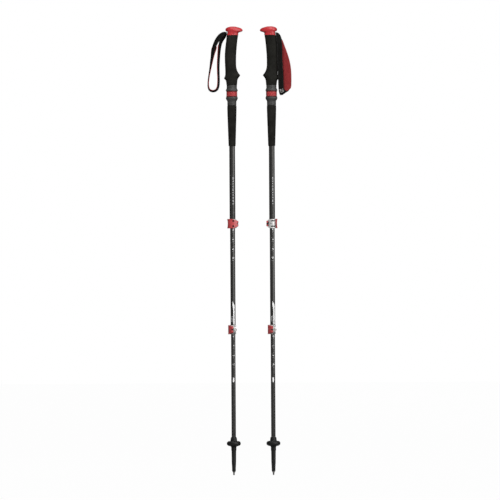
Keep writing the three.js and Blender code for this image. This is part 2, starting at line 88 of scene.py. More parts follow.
# ------------------------------------------------------------------ node materials
class Graph:
    """Short calls for building a node tree. An input takes a value or another node's output."""

    def __init__(self, tree):
        self.tree = tree

    def feed(self, socket, value):
        if isinstance(value, bpy.types.NodeSocket):
            self.tree.links.new(value, socket)
        elif socket.type == "RGBA":
            socket.default_value = (*value[:3], 1)
        else:
            socket.default_value = value

    def node(self, kind, inputs=None, **settings):
        made = self.tree.nodes.new(kind)
        for key, value in settings.items():
            setattr(made, key, value)
        for key, value in (inputs or {}).items():
            self.feed(made.inputs[key], value)
        return made

    def calc(self, operation, *values):
        inputs = dict(enumerate(values))
        return self.node("ShaderNodeMath", inputs, operation=operation).outputs[0]

    def split(self, vector):
        return self.node("ShaderNodeSeparateXYZ", {0: vector}).outputs

    def remap(self, value, span, to=(0, 1), smooth=False):
        inputs = {"Value": value, "From Min": span[0], "From Max": span[1],
                  "To Min": to[0], "To Max": to[1]}
        kind = "SMOOTHSTEP" if smooth else "LINEAR"
        return self.node("ShaderNodeMapRange", inputs, interpolation_type=kind).outputs["Result"]

    def blend(self, factor, a, b):
        """shader a at factor 0, shader b at 1"""
        return self.node("ShaderNodeMixShader", {0: factor, 1: a, 2: b}).outputs[0]

    def camera_ray(self):
        return self.node("ShaderNodeLightPath").outputs["Is Camera Ray"]


class Material(Graph):
    """A procedural material. Patterns lie in object space in millimetres."""

    def __init__(self, name, base, rough, metallic=0.0):
        self.made = bpy.data.materials.new(name)
        self.made.use_nodes = True
        super().__init__(self.made.node_tree)
        self.surface = self.tree.nodes["Principled BSDF"]
        self.set(Base_Color=base, Roughness=rough, Metallic=metallic)
        coords = self.node("ShaderNodeTexCoord")
        self.place = self.stretched(coords.outputs["Object"], (1000, 1000, 1000))
        self.uv = coords.outputs["UV"]
        self.normal = None

    def set(self, **values):
        """feeds inputs of the surface shader; underscores stand for spaces"""
        for key, value in values.items():
            self.feed(self.surface.inputs[key.replace("_", " ")], value)

    def stretched(self, vector, scale):
        inputs = {"Scale": scale, "Vector": vector}
        return self.node("ShaderNodeMapping", inputs).outputs["Vector"]

    def noise(self, scale, detail=3, stretch=None):
        vector = self.stretched(self.place, stretch) if stretch else self.place
        inputs = {"Scale": scale, "Detail": detail, "Roughness": 0.55, "Vector": vector}
        return self.node("ShaderNodeTexNoise", inputs).outputs["Fac"]

    def cells(self, scale, vector):
        inputs = {"Scale": scale, "Vector": vector}
        made = self.node("ShaderNodeTexVoronoi", inputs, feature="SMOOTH_F1")
        return made.outputs["Distance"]

    def mix(self, factor, a, b):
        """colour a at factor 0, colour b at 1"""
        inputs = {"Factor": factor, 6: a, 7: b}
        return self.node("ShaderNodeMix", inputs, data_type="RGBA").outputs[2]

    def bump(self, height, strength, depth):
        """adds relief, depth in millimetres, over the relief already there"""
        inputs = {"Strength": strength, "Distance": depth * MM, "Height": height}
        if self.normal:
            inputs["Normal"] = self.normal
        self.normal = self.node("ShaderNodeBump", inputs).outputs["Normal"]
        self.set(Normal=self.normal)

    def edge(self, amount):
        """the amount on convex edges, 0 on flats"""
        pointed = self.node("ShaderNodeNewGeometry").outputs["Pointiness"]
        return self.calc("MULTIPLY", self.remap(pointed, span=(0.52, 0.6), smooth=True), amount)


def tint(base, by, plus=0.0):
    return tuple(min(c * by + plus, 1) for c in base)


def moulded(name, base, rough, grain, bump, lift, coat=0.0):
    """moulded plastic: fine grain, faint clouds up to `lift` brighter, rubbed edges"""
    k = Material(name, base, rough)
    cloud = k.remap(k.noise(scale=0.09, detail=4), span=(0.35, 0.68))
    colour = k.mix(cloud, tint(base, by=0.86), tint(base, by=lift))
    k.set(Base_Color=k.mix(k.edge(amount=0.35), colour, tint(base, by=1.5, plus=0.02)))
    k.set(Roughness=k.remap(k.noise(scale=1.3, detail=4), span=(0.3, 0.7),
                            to=(rough * 0.86, min(rough * 1.16, 1))))
    k.bump(k.noise(scale=grain), strength=bump, depth=0.05)
    if coat:
        k.set(Coat_Weight=coat, Coat_Roughness=0.14, Coat_IOR=1.6)
    return k.made


def metal(name, base, rough, lines, wear, bump, metallic=1.0):
    """drawn or brushed metal: fine lines stretched one way, cloudy roughness, brighter edges"""
    k = Material(name, base, rough, metallic)
    fine = k.noise(scale=1.0, detail=5, stretch=lines)
    cloud = k.noise(scale=0.12, detail=4)
    colour = k.mix(k.remap(cloud, span=(0.35, 0.7)), tint(base, by=0.86), tint(base, by=1.12))
    k.set(Base_Color=k.mix(k.edge(amount=wear), colour, tint(base, by=2, plus=0.1)))
    k.set(Roughness=k.calc(
        "ADD", k.remap(fine, span=(0.3, 0.7), to=(rough * 0.82, rough * 1.18)),
        k.remap(cloud, span=(0.4, 0.75), to=(0, 0.07))))
    k.bump(fine, strength=bump, depth=0.02)
    return k.made


def foam(name, base):
    """closed-cell foam: cell pits darkened with painted shade, soft skin, slightly greyer patches"""
    k = Material(name, base, rough=0.93)
    pits = k.cells(scale=2.1, vector=k.place)
    fine = k.noise(scale=3.2, detail=5)
    patches = k.remap(k.noise(scale=0.045, detail=4), span=(0.35, 0.7))
    colour = k.mix(patches, tint(base, by=0.85), tint(base, by=1.35, plus=0.002))
    # painted shade: the bottoms of the cell pits are darkened in the colour
    pit_painted_shade = k.remap(pits, span=(0.05, 0.32), to=(0.5, 0))
    k.set(Base_Color=k.mix(pit_painted_shade, colour, tint(base, by=0.35)))
    k.set(Roughness=k.remap(fine, span=(0.3, 0.7), to=(0.86, 0.98)))
    k.bump(pits, strength=0.35, depth=0.12)
    k.bump(fine, strength=0.3, depth=0.06)
    k.set(Specular_IOR_Level=0.1)
    return k.made


def webbing(name, base, other, pitch):
    """plain weave along the strap, with painted shade in the gaps between yarns: the UV map is in
    millimetres across and along
    """
    k = Material(name, base, rough=0.82)
    uv = k.split(k.uv)
    phases = [k.calc("MULTIPLY", uv[axis], math.pi / pitch) for axis in ("X", "Y")]
    waves = [k.calc("SINE", phase) for phase in phases]
    checker = k.calc("SIGN", k.calc("MULTIPLY", *waves))
    across, along = [k.calc("ABSOLUTE", wave) for wave in waves]
    height = k.calc(
        "MAXIMUM",
        k.calc("MULTIPLY", across, k.remap(checker, span=(-1, 1), to=(0.35, 1))),
        k.calc("MULTIPLY", along, k.remap(checker, span=(-1, 1), to=(1, 0.35))))
    colour = k.mix(k.remap(checker, span=(-1, 1)), base, other)
    # painted shade: the gaps between the yarns, where the weave dips, are darkened in the colour
    gap = k.remap(height, span=(0.15, 0.75), to=(0.6, 0))
    colour = k.mix(gap, colour, tint(base, by=0.4))
    faded = k.remap(k.noise(scale=0.15, detail=4), span=(0.4, 0.7), to=(0, 0.35))
    k.set(Base_Color=k.mix(faded, colour, tint(other, by=1.6)))
    k.set(Roughness=k.remap(k.noise(scale=1.5), span=(0.3, 0.7), to=(0.72, 0.92)))
    k.bump(height, strength=0.8, depth=0.16)
    k.set(Specular_IOR_Level=0.14)
    return k.made


def knit(name, base, other, pitch=1.5):
    """soft knitted lining with small cells"""
    k = Material(name, base, rough=0.9)
    cell = k.cells(scale=1.0, vector=k.stretched(k.uv, (1 / pitch, 0.62 / pitch, 1)))
    fuzz = k.noise(scale=3.0, detail=5)
    colour = k.mix(k.remap(cell, span=(0.1, 0.5)), other, base)
    fuzzy = k.remap(fuzz, span=(0.4, 0.7), to=(0, 0.3))
    k.set(Base_Color=k.mix(fuzzy, colour, tint(base, by=0.55)))
    k.bump(cell, strength=0.45, depth=0.2)
    k.bump(fuzz, strength=0.3, depth=0.08)
    k.set(Sheen_Weight=0.05, Sheen_Roughness=0.5, Specular_IOR_Level=0.12)
    return k.made


def elastomer(name, base, middle):
    """soft elastomer ring, its waist centred on z = middle: painted shade darkens the flanges next to
    the collars and painted highlights brighten thin lines at the waist's ends
    """
    k = Material(name, base, rough=0.5)
    away = k.calc("ABSOLUTE", k.calc("SUBTRACT", k.split(k.place)["Z"], middle))
    cloud = k.remap(k.noise(scale=0.2, detail=4), span=(0.35, 0.68), to=(0.86, 1))
    # painted shade: the flanges next to the overhanging collars are darkened in the colour
    colour = k.mix(k.remap(away, span=(4.7, 5.1)), base, tint(base, by=0.34))
    # painted highlight: thin bright lines at the top and bottom of the waist
    from_rim = k.calc("ABSOLUTE", k.calc("SUBTRACT", away, 4.25))
    rim = k.remap(from_rim, span=(0.1, 0.35), to=(0.55, 0))
    colour = k.mix(rim, colour, tint(base, by=1.5, plus=0.06))
    k.set(Base_Color=k.mix(cloud, tint(base, by=0.5), colour))
    k.set(Roughness=k.remap(k.noise(scale=1.3, detail=4), span=(0.3, 0.7), to=(0.44, 0.6)))
    k.bump(k.noise(scale=5.0), strength=0.25, depth=0.05)
    return k.made


WEAVE = dict(base=(0.0042, 0.004, 0.0036), other=(0.0075, 0.0072, 0.0066))
MATS = {
    "red_plastic": moulded("red_plastic", (0.46, 0.026, 0.032), rough=0.32, grain=3.0,
                           bump=0.1, lift=1.12, coat=0.3),
    "red_lever": moulded("red_lever_paint", (0.43, 0.046, 0.05), rough=0.3, grain=2.4,
                         bump=0.08, lift=1.14, coat=0.9),
    # dark red for the floors of the lever's pockets: painted shade
    "painted_pocket_floor_shade": moulded("red_lever_painted_pocket_shade", (0.05, 0.008, 0.009), rough=0.6, grain=3.0,
                            bump=0.2, lift=1.2),
    "red_elastomer": elastomer("red_elastomer", (0.42, 0.045, 0.048), middle=1019.9),
    "grip_foam": foam("grip_foam", (0.0125, 0.0122, 0.0105)),
    "black_plastic": moulded("black_plastic", (0.022, 0.022, 0.023), rough=0.48, grain=5.0,
                             bump=0.3, lift=1.3),
    "grey_collar": moulded("grey_collar", (0.046, 0.046, 0.044), rough=0.5, grain=5.5,
                           bump=0.35, lift=1.25),
    "basket_plastic": moulded("basket_plastic", (0.0095, 0.0098, 0.0092), rough=0.42,
                              grain=5.0, bump=0.3, lift=1.3),
    "shaft_anodised": metal("shaft_anodised", (0.128, 0.127, 0.122), rough=0.25,
                            lines=(5.0, 5.0, 0.06), wear=0.1, bump=0.1, metallic=0.92),
    "silver_alloy": metal("silver_alloy", (0.84, 0.83, 0.81), rough=0.3,
                          lines=(0.25, 0.25, 7.0), wear=0.2, bump=0.12, metallic=0.45),
    "dark_steel": metal("blackened_steel", (0.07, 0.068, 0.066), rough=0.34,
                        lines=(4.0, 4.0, 0.3), wear=0.3, bump=0.12),
    "steel": metal("bright_steel", (0.56, 0.55, 0.53), rough=0.26, lines=(4.0, 4.0, 0.3),
                   wear=0.25, bump=0.12),
    "spring_steel": metal("spring_wire", (0.42, 0.42, 0.43), rough=0.32,
                          lines=(3.0, 3.0, 3.0), wear=0.2, bump=0.1),
    "carbide": metal("ground_carbide", (0.32, 0.315, 0.3), rough=0.4, lines=(5.0, 5.0, 5.0),
                     wear=0.3, bump=0.25),
    "strap_webbing": webbing("strap_webbing", pitch=0.9, **WEAVE),
    "strap_lining": knit("strap_lining", base=(0.20, 0.022, 0.023), other=(0.29, 0.034, 0.036)),
    "strap_backing": webbing("strap_backing", pitch=0.55, **WEAVE),
    "red_binding": moulded("red_binding", (0.27, 0.02, 0.023), rough=0.7, grain=3.0,
                           bump=0.3, lift=1.2),
    "piping": moulded("strap_piping", (0.42, 0.10, 0.10), rough=0.6, grain=3.0,
                      bump=0.3, lift=1.2),
    "thread_pale": moulded("pale_thread", (0.62, 0.61, 0.59), rough=0.7, grain=3.0,
                           bump=0.3, lift=1.1),
    "thread": moulded("sewing_thread", (0.035, 0.033, 0.032), rough=0.6, grain=3.0,
                      bump=0.3, lift=1.3),
    "ink_white": moulded("white_ink", (0.97, 0.97, 0.96), rough=0.42, grain=2.0,
                         bump=0.08, lift=1.04),
    "ink_grey": moulded("grey_ink", (0.42, 0.425, 0.43), rough=0.42, grain=2.0,
                        bump=0.08, lift=1.08),
}


# ------------------------------------------------------------------ points and curves
def spread(first, last, steps):
    """evenly spaced values, both ends included"""
    return [first + (last - first) * i / steps for i in range(steps + 1)]


def circle(r, seg, x=0, y=0):
    angles = [2 * math.pi * i / seg for i in range(seg)]
    return [(x + r * math.cos(a), y + r * math.sin(a)) for a in angles]


def arc(r, start, end, steps):
    """points on a circle about the origin, angles in degrees"""
    angles = [math.radians(a) for a in spread(start, end, steps)]
    return [(r * math.cos(a), r * math.sin(a)) for a in angles]


def mirrored(points):
    """the points, then their mirror images in the second coordinate, going back"""
    return points + [(x, -y) for x, y in reversed(points)]


def smooth_curve(xs, ys):
    """monotone cubic through the points, as a function"""
    gaps = [b - a for a, b in zip(xs, xs[1:])]
    slopes = [(b - a) / gap for a, b, gap in zip(ys, ys[1:], gaps)]
    tangents = [0.0] * len(xs)
    tangents[0], tangents[-1] = slopes[0], slopes[-1]
    for i in range(1, len(gaps)):
        if slopes[i - 1] * slopes[i] > 0:
            w1, w2 = 2 * gaps[i] + gaps[i - 1], gaps[i] + 2 * gaps[i - 1]
            tangents[i] = (w1 + w2) / (w1 / slopes[i - 1] + w2 / slopes[i])

    def value(x):
        x = min(max(x, xs[0]), xs[-1])
        i = 0
        while i < len(xs) - 2 and x > xs[i + 1]:
            i += 1
        t = (x - xs[i]) / gaps[i]
        a, b = (1 + 2 * t) * (1 - t) ** 2, t * (1 - t) ** 2
        c, d = t * t * (3 - 2 * t), t * t * (t - 1)
        return (a * ys[i] + b * gaps[i] * tangents[i]
                + c * ys[i + 1] + d * gaps[i] * tangents[i + 1])

    return value


def columns(rows):
    """the table's columns after the first, each as a function of the first"""
    first, *others = zip(*sorted(rows))
    return [smooth_curve(first, other) for other in others]


def rounded(profile, steps):
    """(r, z) or (r, z, fillet) corners of an outline to a smooth point list"""
    points = []
    for i, (r, z, *fillet) in enumerate(profile):
        corner = Vector((r, z))
        back = Vector(profile[i - 1][:2]) - corner
        ahead = Vector(profile[(i + 1) % len(profile)][:2]) - corner
        back_length, ahead_length = back.length, ahead.length
        back.normalize()
        ahead.normalize()
        angle = back.angle(ahead) if fillet else math.pi
        if angle > math.pi - 0.02:
            points.append((r, z))
            continue
        reach = min(fillet[0] / math.tan(angle / 2), 0.48 * back_length, 0.48 * ahead_length)
        start, end = corner + back * reach, corner + ahead * reach
        for k in range(steps + 1):
            u = k / steps
            points.append(tuple(start * (1 - u) ** 2 + corner * 2 * u * (1 - u) + end * u * u))
    return points


def section(z, rear, front, half, nose, power, seg=72):
    """superellipse at height z between x = rear and front; nose narrows its front"""
    middle, reach = (rear + front) / 2, (front - rear) / 2
    points = []
    for i in range(seg):
        t = i / seg * 2 * math.pi
        c, s = math.cos(t), math.sin(t)
        x = math.copysign(abs(c) ** (2 / power), c)
        y = math.copysign(abs(s) ** (2 / power), s)
        points.append((middle + reach * x, half * y * (1 - nose * max(0, x)), z))
    return points


# ------------------------------------------------------------------ meshes, in millimetres
def weld(bm):
    bmesh.ops.remove_doubles(bm, verts=bm.verts, dist=1e-4)


def face_outwards(bm):
    bmesh.ops.recalc_face_normals(bm, faces=bm.faces)


def drop_slivers(bm):
    bmesh.ops.dissolve_degenerate(bm, dist=1e-4, edges=bm.edges)


def build_mesh(name, verts, faces, *edits):
    bm = bmesh.new()
    corners = [bm.verts.new(v) for v in verts]
    for face in faces:
        bm.faces.new([corners[i] for i in face])
    for edit in edits:
        edit(bm)
    mesh = bpy.data.meshes.new(name)
    bm.to_mesh(mesh)
    bm.free()
    return mesh


def edit_mesh(mesh, *edits):
    bm = bmesh.new()
    bm.from_mesh(mesh)
    for edit in edits:
        edit(bm)
    bm.to_mesh(mesh)
    bm.free()


def tidy(o):
    edit_mesh(o.data, drop_slivers, weld, face_outwards)
    return o


def add_object(name, data):
    o = bpy.data.objects.new(name, data)
    scene.collection.objects.link(o)
    return o


def solid(verts, faces):
    return add_object("work", build_mesh("m", verts, faces, weld, face_outwards))


def quads(rings, n, start=0):
    """faces between successive rings of n points"""
    faces = []
    for i in range(rings - 1):
        a, b = start + i * n, start + (i + 1) * n
        faces += [[a + j, a + (j + 1) % n, b + (j + 1) % n, b + j] for j in range(n)]
    return faces


def ends(rings, n, start=0):
    """faces that close the first and the last ring"""
    last = start + (rings - 1) * n
    return [list(range(start, start + n))[::-1], list(range(last, last + n))]


def lathe(profile, seg, steps=4):
    """solid of revolution; the profile is a closed loop, or starts and ends on the axis"""
    verts, loops = [], []
    for r, z in rounded(profile, steps):
        if r == 0:
            loops.append([len(verts)] * seg)
            verts.append((0, 0, z))
        else:
            loops.append([len(verts) + j for j in range(seg)])
            verts += [(x, y, z) for x, y in circle(r, seg)]
    closing = [] if profile[0][0] == profile[-1][0] == 0 else loops[:1]
    faces = []
    for a, b in zip(loops, loops[1:] + closing):
        for j in range(seg):
            k = (j + 1) % seg
            faces.append(list(dict.fromkeys((a[j], a[k], b[k], b[j]))))
    return solid(verts, faces)


def loft(rings, bore=None):
    """skin through rings, from low to high; closed with end faces, or joined to a round bore"""
    n = len(rings[0])
    verts = [point for ring in rings for point in ring]
    faces = quads(len(rings), n)
    if not bore:
        return solid(verts, faces + ends(len(rings), n))
    inner = len(verts)
    for ring in (rings[-1], rings[0]):
        verts += [(x, y, ring[0][2]) for x, y in circle(bore, n)]
    starts = (inner - n, inner, inner + n, 0)
    for j in range(n):
        k = (j + 1) % n
        faces += [[a + j, a + k, b + k, b + j] for a, b in zip(starts, starts[1:])]
    return solid(verts, faces)


def prism(points, low, high, plane="xy"):
    """outline extruded from low to high; plane xy along z, or xz along y"""
    if plane == "xy":
        verts = [(x, y, z) for z in (low, high) for x, y in points]
    else:
        verts = [(x, y, z) for y in (low, high) for x, z in points]
    return solid(verts, ends(2, len(points)) + quads(2, len(points)))


def block(x, y, z):
    """box between pairs of limits"""
    return prism([(x[0], y[0]), (x[1], y[0]), (x[1], y[1]), (x[0], y[1])], *z)


def rod_x(radius, x0, x1, z):
    o = rod_z(radius, x0, x1, seg=24)
    o.data.transform(Matrix.Translation((0, 0, z)) @ Matrix.Rotation(math.pi / 2, 4, "Y"))
    return tidy(o)


def rod_y(radius, y0, y1, x, z, seg):
    return prism(circle(radius, seg, x, z), y0, y1, "xz")


def rod_z(radius, z0, z1, x=0, y=0, seg=32):
    return prism(circle(radius, seg, x, y), z0, z1)


def swept(path, radius, n=8):
    """rod along a path, closed at its ends; radius is one value or one for each point"""
    path = [Vector(point) for point in path]
    last = len(path) - 1
    radii = radius if isinstance(radius, list) else [radius] * len(path)
    verts, up = [], None
    for i, (point, r) in enumerate(zip(path, radii)):
        tangent = (path[min(i + 1, last)] - path[max(i - 1, 0)]).normalized()
        if up is None:
            up = tangent.orthogonal().normalized()
        up = (up - tangent * up.dot(tangent)).normalized()
        across = tangent.cross(up)
        for j in range(n):
            a = 2 * math.pi * j / n
            verts.append(tuple(point + up * (r * math.cos(a)) + across * (r * math.sin(a))))
    return solid(verts, quads(len(path), n) + ends(len(path), n))


def bake(o):
    """applies the modifiers"""
    graph = bpy.context.evaluated_depsgraph_get()
    graph.update()
    mesh = bpy.data.meshes.new_from_object(o.evaluated_get(graph))
    old = o.data
    o.modifiers.clear()
    o.data = mesh
    bpy.data.meshes.remove(old)
    return o


def boolean(o, operation, *others):
    for other in others:
        modifier = o.modifiers.new("b", "BOOLEAN")
        modifier.operation = operation
        modifier.solver = "EXACT"
        modifier.object = other
    bake(o)
    for other in others:
        bpy.data.objects.remove(other)


def cut(o, *others):
    boolean(o, "DIFFERENCE", *others)


def join(o, *others):
    boolean(o, "UNION", *others)


def bevel(o, width, segments, angle):
    modifier = o.modifiers.new("v", "BEVEL")
    modifier.width = width
    modifier.segments = segments
    modifier.limit_method = "ANGLE"
    modifier.angle_limit = math.radians(angle)
    modifier.use_clamp_overlap = True
    modifier.miter_outer = "MITER_ARC"
    bake(o)


def paint(o, *mats):
    o.data.materials.clear()
    for mat in mats:
        o.data.materials.append(MATS[mat])


def label(o, name, mat):
    o.name = name
    o.data.name = name
    if mat:
        paint(o, mat)


def piece(o, name, mat, side, body=None, node=None, slot=None, turn=0.0, z=0.0, smooth=35):
    label(o, f"{side}_{name}", mat)
    half = 0.0 if side == "left" else math.pi
    o.data.transform(
        Matrix.Scale(MM, 4) @ Matrix.Translation((POLE_X[side], 0, 0))
        @ Matrix.Rotation(half, 4, "Z") @ Matrix.Translation((0, 0, z))
        @ Matrix.Rotation(turn, 4, "Z"))
    o.data.polygons.foreach_set("use_smooth", [True] * len(o.data.polygons))
    o.data.set_sharp_from_angle(angle=math.radians(smooth))
    if body:
        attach(o, f"{side}_{body}")
    if node:
        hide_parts(f"{side}_{node}")
    return o


# ------------------------------------------------------------------ grip: cap, foam, collars, ring
# z, rear x, front x, half width, nose taper, section power
CAP = [
    (1176.9, -12.0, 17.9, 14.1, 0.08, 2.5), (1177.7, -12.35, 18.25, 14.4, 0.08, 2.5),
    (1178.9, -12.35, 18.3, 14.45, 0.09, 2.5), (1179.7, -11.9, 18.0, 14.2, 0.1, 2.45),
    (1182.0, -11.7, 18.2, 14.3, 0.12, 2.4), (1184.2, -11.8, 19.6, 14.5, 0.15, 2.35),
    (1185.6, -12.3, 23.4, 14.8, 0.22, 2.3), (1186.9, -13.4, 27.6, 15.2, 0.3, 2.25),
    (1188.3, -14.8, 29.5, 15.6, 0.35, 2.2), (1189.6, -15.8, 30.0, 15.9, 0.37, 2.2),
    (1191.0, -16.1, 29.9, 16.0, 0.37, 2.2), (1192.8, -16.2, 29.0, 15.9, 0.36, 2.2),
    (1194.6, -15.6, 27.2, 15.3, 0.32, 2.2), (1196.4, -14.2, 24.2, 14.1, 0.25, 2.2),
    (1197.9, -11.9, 20.2, 12.3, 0.16, 2.15), (1199.0, -9.3, 16.2, 10.0, 0.08, 2.1),
    (1199.7, -6.6, 12.4, 7.6, 0.03, 2.05), (1200.0, -4.4, 9.6, 5.6, 0.0, 2.0),
]
# z, rear x, front x, half width
FOAM = [
    (1176.5, -12.5, 17.3, 14.0), (1175.7, -12.8, 17.55, 14.25), (1170, -13.6, 16.6, 13.9),
    (1163, -14.4, 15.7, 13.7), (1150, -16.0, 14.3, 13.5), (1137, -17.4, 13.2, 13.5),
    (1122, -18.3, 12.2, 13.7), (1106, -18.1, 11.9, 13.8), (1096, -17.7, 12.0, 13.75),
    (1089.5, -17.4, 12.9, 13.75), (1083.5, -17.2, 14.5, 13.85), (1078.5, -17.1, 16.7, 14.0),
    (1074.5, -17.2, 19.3, 14.25), (1071.4, -17.3, 21.8, 14.45), (1069.7, -17.6, 22.5, 14.55),
    (1068.2, -18.0, 22.0, 14.55), (1065.4, -19.0, 19.6, 14.5), (1063.2, -20.1, 18.0, 14.35),
    (1061.7, -20.4, 17.2, 14.2), (1060.2, -19.7, 16.6, 14.1), (1057.6, -16.8, 15.6, 13.95),
    (1054.5, -15.4, 15.0, 13.8), (1050.5, -14.7, 14.6, 13.75), (1046, -14.25, 14.3, 13.7),
    (1043.3, -13.9, 13.9, 13.5),
]
FOAM_BORE = 10.7
# the profiles below hold radius, z and fillet, if any
UPPER_COLLAR = [
    (BORE, 1028.0), (15.5, 1028.0, 0.5), (15.95, 1028.9, 0.4), (15.9, 1030.4, 0.5),
    (14.9, 1032.4, 1.2), (14.0, 1034.2, 1.0), (13.75, 1036.6, 0.3), (13.35, 1036.9, 0.1),
    (13.35, 1037.5, 0.1), (13.75, 1037.8, 0.3), (13.7, 1043.0, 0.6), (BORE, 1043.0),
]
LOWER_COLLAR = [
    (BORE, 989.6), (11.7, 989.6, 0.4), (12.0, 990.1, 0.3), (12.1, 996.0), (12.1, 1000.2, 1.5),
    (13.5, 1003.0, 1.5), (15.4, 1006.2, 1.5), (15.9, 1008.2, 0.6), (15.9, 1010.6, 0.6),
    (15.3, 1011.8, 0.5), (BORE, 1011.8),
]
RING_LOWER_FLANGE = [
    (BORE, 1012.2), (14.3, 1012.2, 0.5), (14.85, 1012.9, 0.4), (14.85, 1014.9, 0.4),
    (14.2, 1015.4, 0.2), (13.9, 1015.9, 0.2), (14.3, 1016.4, 0.2),
]
RING_RIBS, RING_RIB_Z, RING_RIB_PITCH = 4, 1017.0, 1.45
RING_UPPER_FLANGE = [
    (14.5, 1023.6, 0.25), (13.9, 1024.2, 0.2), (14.2, 1024.7, 0.2), (14.85, 1025.2, 0.4),
    (14.85, 1027.0, 0.4), (14.3, 1027.6, 0.5), (BORE, 1027.6),
]
EXTENSION = [
    (BORE, 880.5), (9.0, 880.5, 0.6), (9.45, 881.6, 0.5), (9.7, 890), (10.05, 901),
    (10.4, 912), (10.75, 924), (11.15, 936), (11.6, 950), (12.0, 963), (12.3, 975),
    (12.45, 984), (12.3, 988.6, 0.6), (11.9, 989.2, 0.3), (BORE, 989.2),
]
SPRING_R, SPRING_WIRE_R, SPRING_TURNS, SPRING_STEPS = 5.6, 0.95, 4.0, 200
SPRING_Z = (1116.3, 1157.1)


def crown(shape, x, y):
    """height of the cap's upper skin at x, y, found by halving"""
    low, high = 1190.0, 1200.0
    for _ in range(30):
        z = (low + high) / 2
        rear, front, half, nose, power = (column(z) for column in shape)
        u = (x - (rear + front) / 2) / ((front - rear) / 2)
        v = abs(y) / max(half * (1 - nose * max(0, u)), 1e-6)
        if abs(u) < 1 and abs(u) ** power + v ** power < 1:
            low = z
        else:
            high = z
    return low


def make_cap(side):
    """cap with a spigot below, a slot open to the rear and a cross hole for the strap's pin"""
    shape = columns(CAP)
    rings = [section(z, *(column(z) for column in shape))
             for z in spread(CAP[0][0], CAP[-1][0], 46)]
    cap = loft(rings)
    join(cap, rod_z(radius=7.8, z0=1158.4, z1=1178.4, seg=48))
    cut(cap, block(x=(-30, -1.5), y=(-8.2, 8.2), z=(1179.6, 1187.2)),
        rod_y(radius=1.8, y0=-10.6, y1=10.6, x=-4.6, z=1183.4, seg=24))
    bevel(cap, width=0.45, segments=3, angle=50)
    piece(tidy(cap), "cap_shell", "red_plastic", side, "grip", "top_cap", smooth=42)
    # two low ribs along the crown, bowed towards its middle line at their ends
    radii = [0.55 * min(1, 0.25 + 0.75 * math.sin(math.pi * i / 24) * 2) for i in range(25)]
    for tag, offset in (("a", 7.3), ("b", -7.3)):
        path = []
        for x in spread(-9.5, 15.5, 24):
            y = offset * (1 - 0.22 * ((x - 3) / 14) ** 2)
            path.append((x, y, crown(shape, x, y) + 0.05))
        piece(swept(path, radii, 10), f"cap_rib_{tag}", "red_plastic", side, "grip", smooth=60)


def make_foam(side):
    shape = columns(FOAM)
    rings = [section(z, *(column(z) for column in shape), nose=0.0, power=2.25)
             for z in spread(FOAM[-1][0], FOAM[0][0], 118)]
    piece(loft(rings, FOAM_BORE), "foam_grip", "grip_foam", side, "grip", "grip_foam", smooth=50)


def make_ring(side):
    """damper ring: two flanges with a ribbed waist"""
    ribs = []
    for k in range(RING_RIBS):
        z = RING_RIB_Z + RING_RIB_PITCH * k
        ribs += [(14.62, z, 0.25), (14.62, z + 0.75, 0.25),
                 (14.3, z + 1.05, 0.12), (14.3, z + 1.2, 0.12)]
    ribs.append((14.62, RING_RIB_Z + RING_RIB_PITCH * RING_RIBS, 0.25))
    ring = lathe(RING_LOWER_FLANGE + ribs + RING_UPPER_FLANGE, seg=96, steps=3)
    piece(ring, "ring_elastomer", "red_elastomer", side, "grip", "damper_ring", smooth=30)
    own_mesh(ring)


def make_extension(side):
    """tapered foam sleeve below the lower collar"""
    sleeve = lathe(EXTENSION, seg=72)
    modifier = sleeve.modifiers.new("s", "SUBSURF")
    modifier.levels = modifier.render_levels = 1
    modifier.subdivision_type = "SIMPLE"
    bake(sleeve)
    piece(sleeve, "foam_extension", "grip_foam", side, "upper_section", "grip_extension_foam")


def make_spring(side):
    path = []
    for i, z in enumerate(spread(*SPRING_Z, SPRING_STEPS)):
        a = SPRING_TURNS * 2 * math.pi * i / SPRING_STEPS
        path.append((SPRING_R * math.cos(a), SPRING_R * math.sin(a), z))
    spring = swept(path, SPRING_WIRE_R, 10)
    piece(spring, "coil_spring", "spring_steel", side, "grip", "shock_spring", smooth=60)
    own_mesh(spring)


def make_grip(side):
    make_cap(side)
    make_foam(side)
    piece(lathe(UPPER_COLLAR, seg=96), "collar_upper", "grey_collar", side,
          "grip", "upper_collar", smooth=30)
    make_ring(side)
    piece(lathe(LOWER_COLLAR, seg=96), "collar_lower", "grey_collar", side,
          "upper_section", "lower_collar", smooth=30)
    make_extension(side)
    make_spring(side)


# ------------------------------------------------------------------ tubes and their printed marks
# part, outer radius, inner radius, whether its lower end is slit
TUBES = [("upper", UPPER_R, 7.0, True), ("mid", MID_R, 6.1, True), ("lower", LOWER_R, 5.05, False)]
# tag, section, tube radius, figure height, half length of the line, its drop below the figures
SCALES = [("mid", "mid", MID_R, 4.3, 1.6, 8.4), ("low", "lower", LOWER_R, 3.6, 1.5, 8.2)]
LENGTHS = ("120", "115", "110", "105")          # set lengths in centimetres
LENGTH_Z = {"mid": (659.0, 633.6, 608.0, 582.7), "low": (373.0, 348.4, 323.0, 297.5)}
SCALE_ANGLE = {"left": math.radians(9), "right": math.radians(12)}
FIGURE_LIFT, PATCH_LIFT = 0.04, 0.03            # prints above the tube
STRIPE_BOTTOM, STRIPE_TOP = 403.4, 464.5
STRIPE_EDGES = {"left": (-0.9, 4.1), "right": (-0.2, 6.0)}
UPPER_BARS = (6.2, 3.4, 3.4, 4.6)               # heights, repeated down the upper tube
UPPER_BARS_TOP, UPPER_BARS_END, UPPER_BARS_GAP = 797.0, 726, 3.1


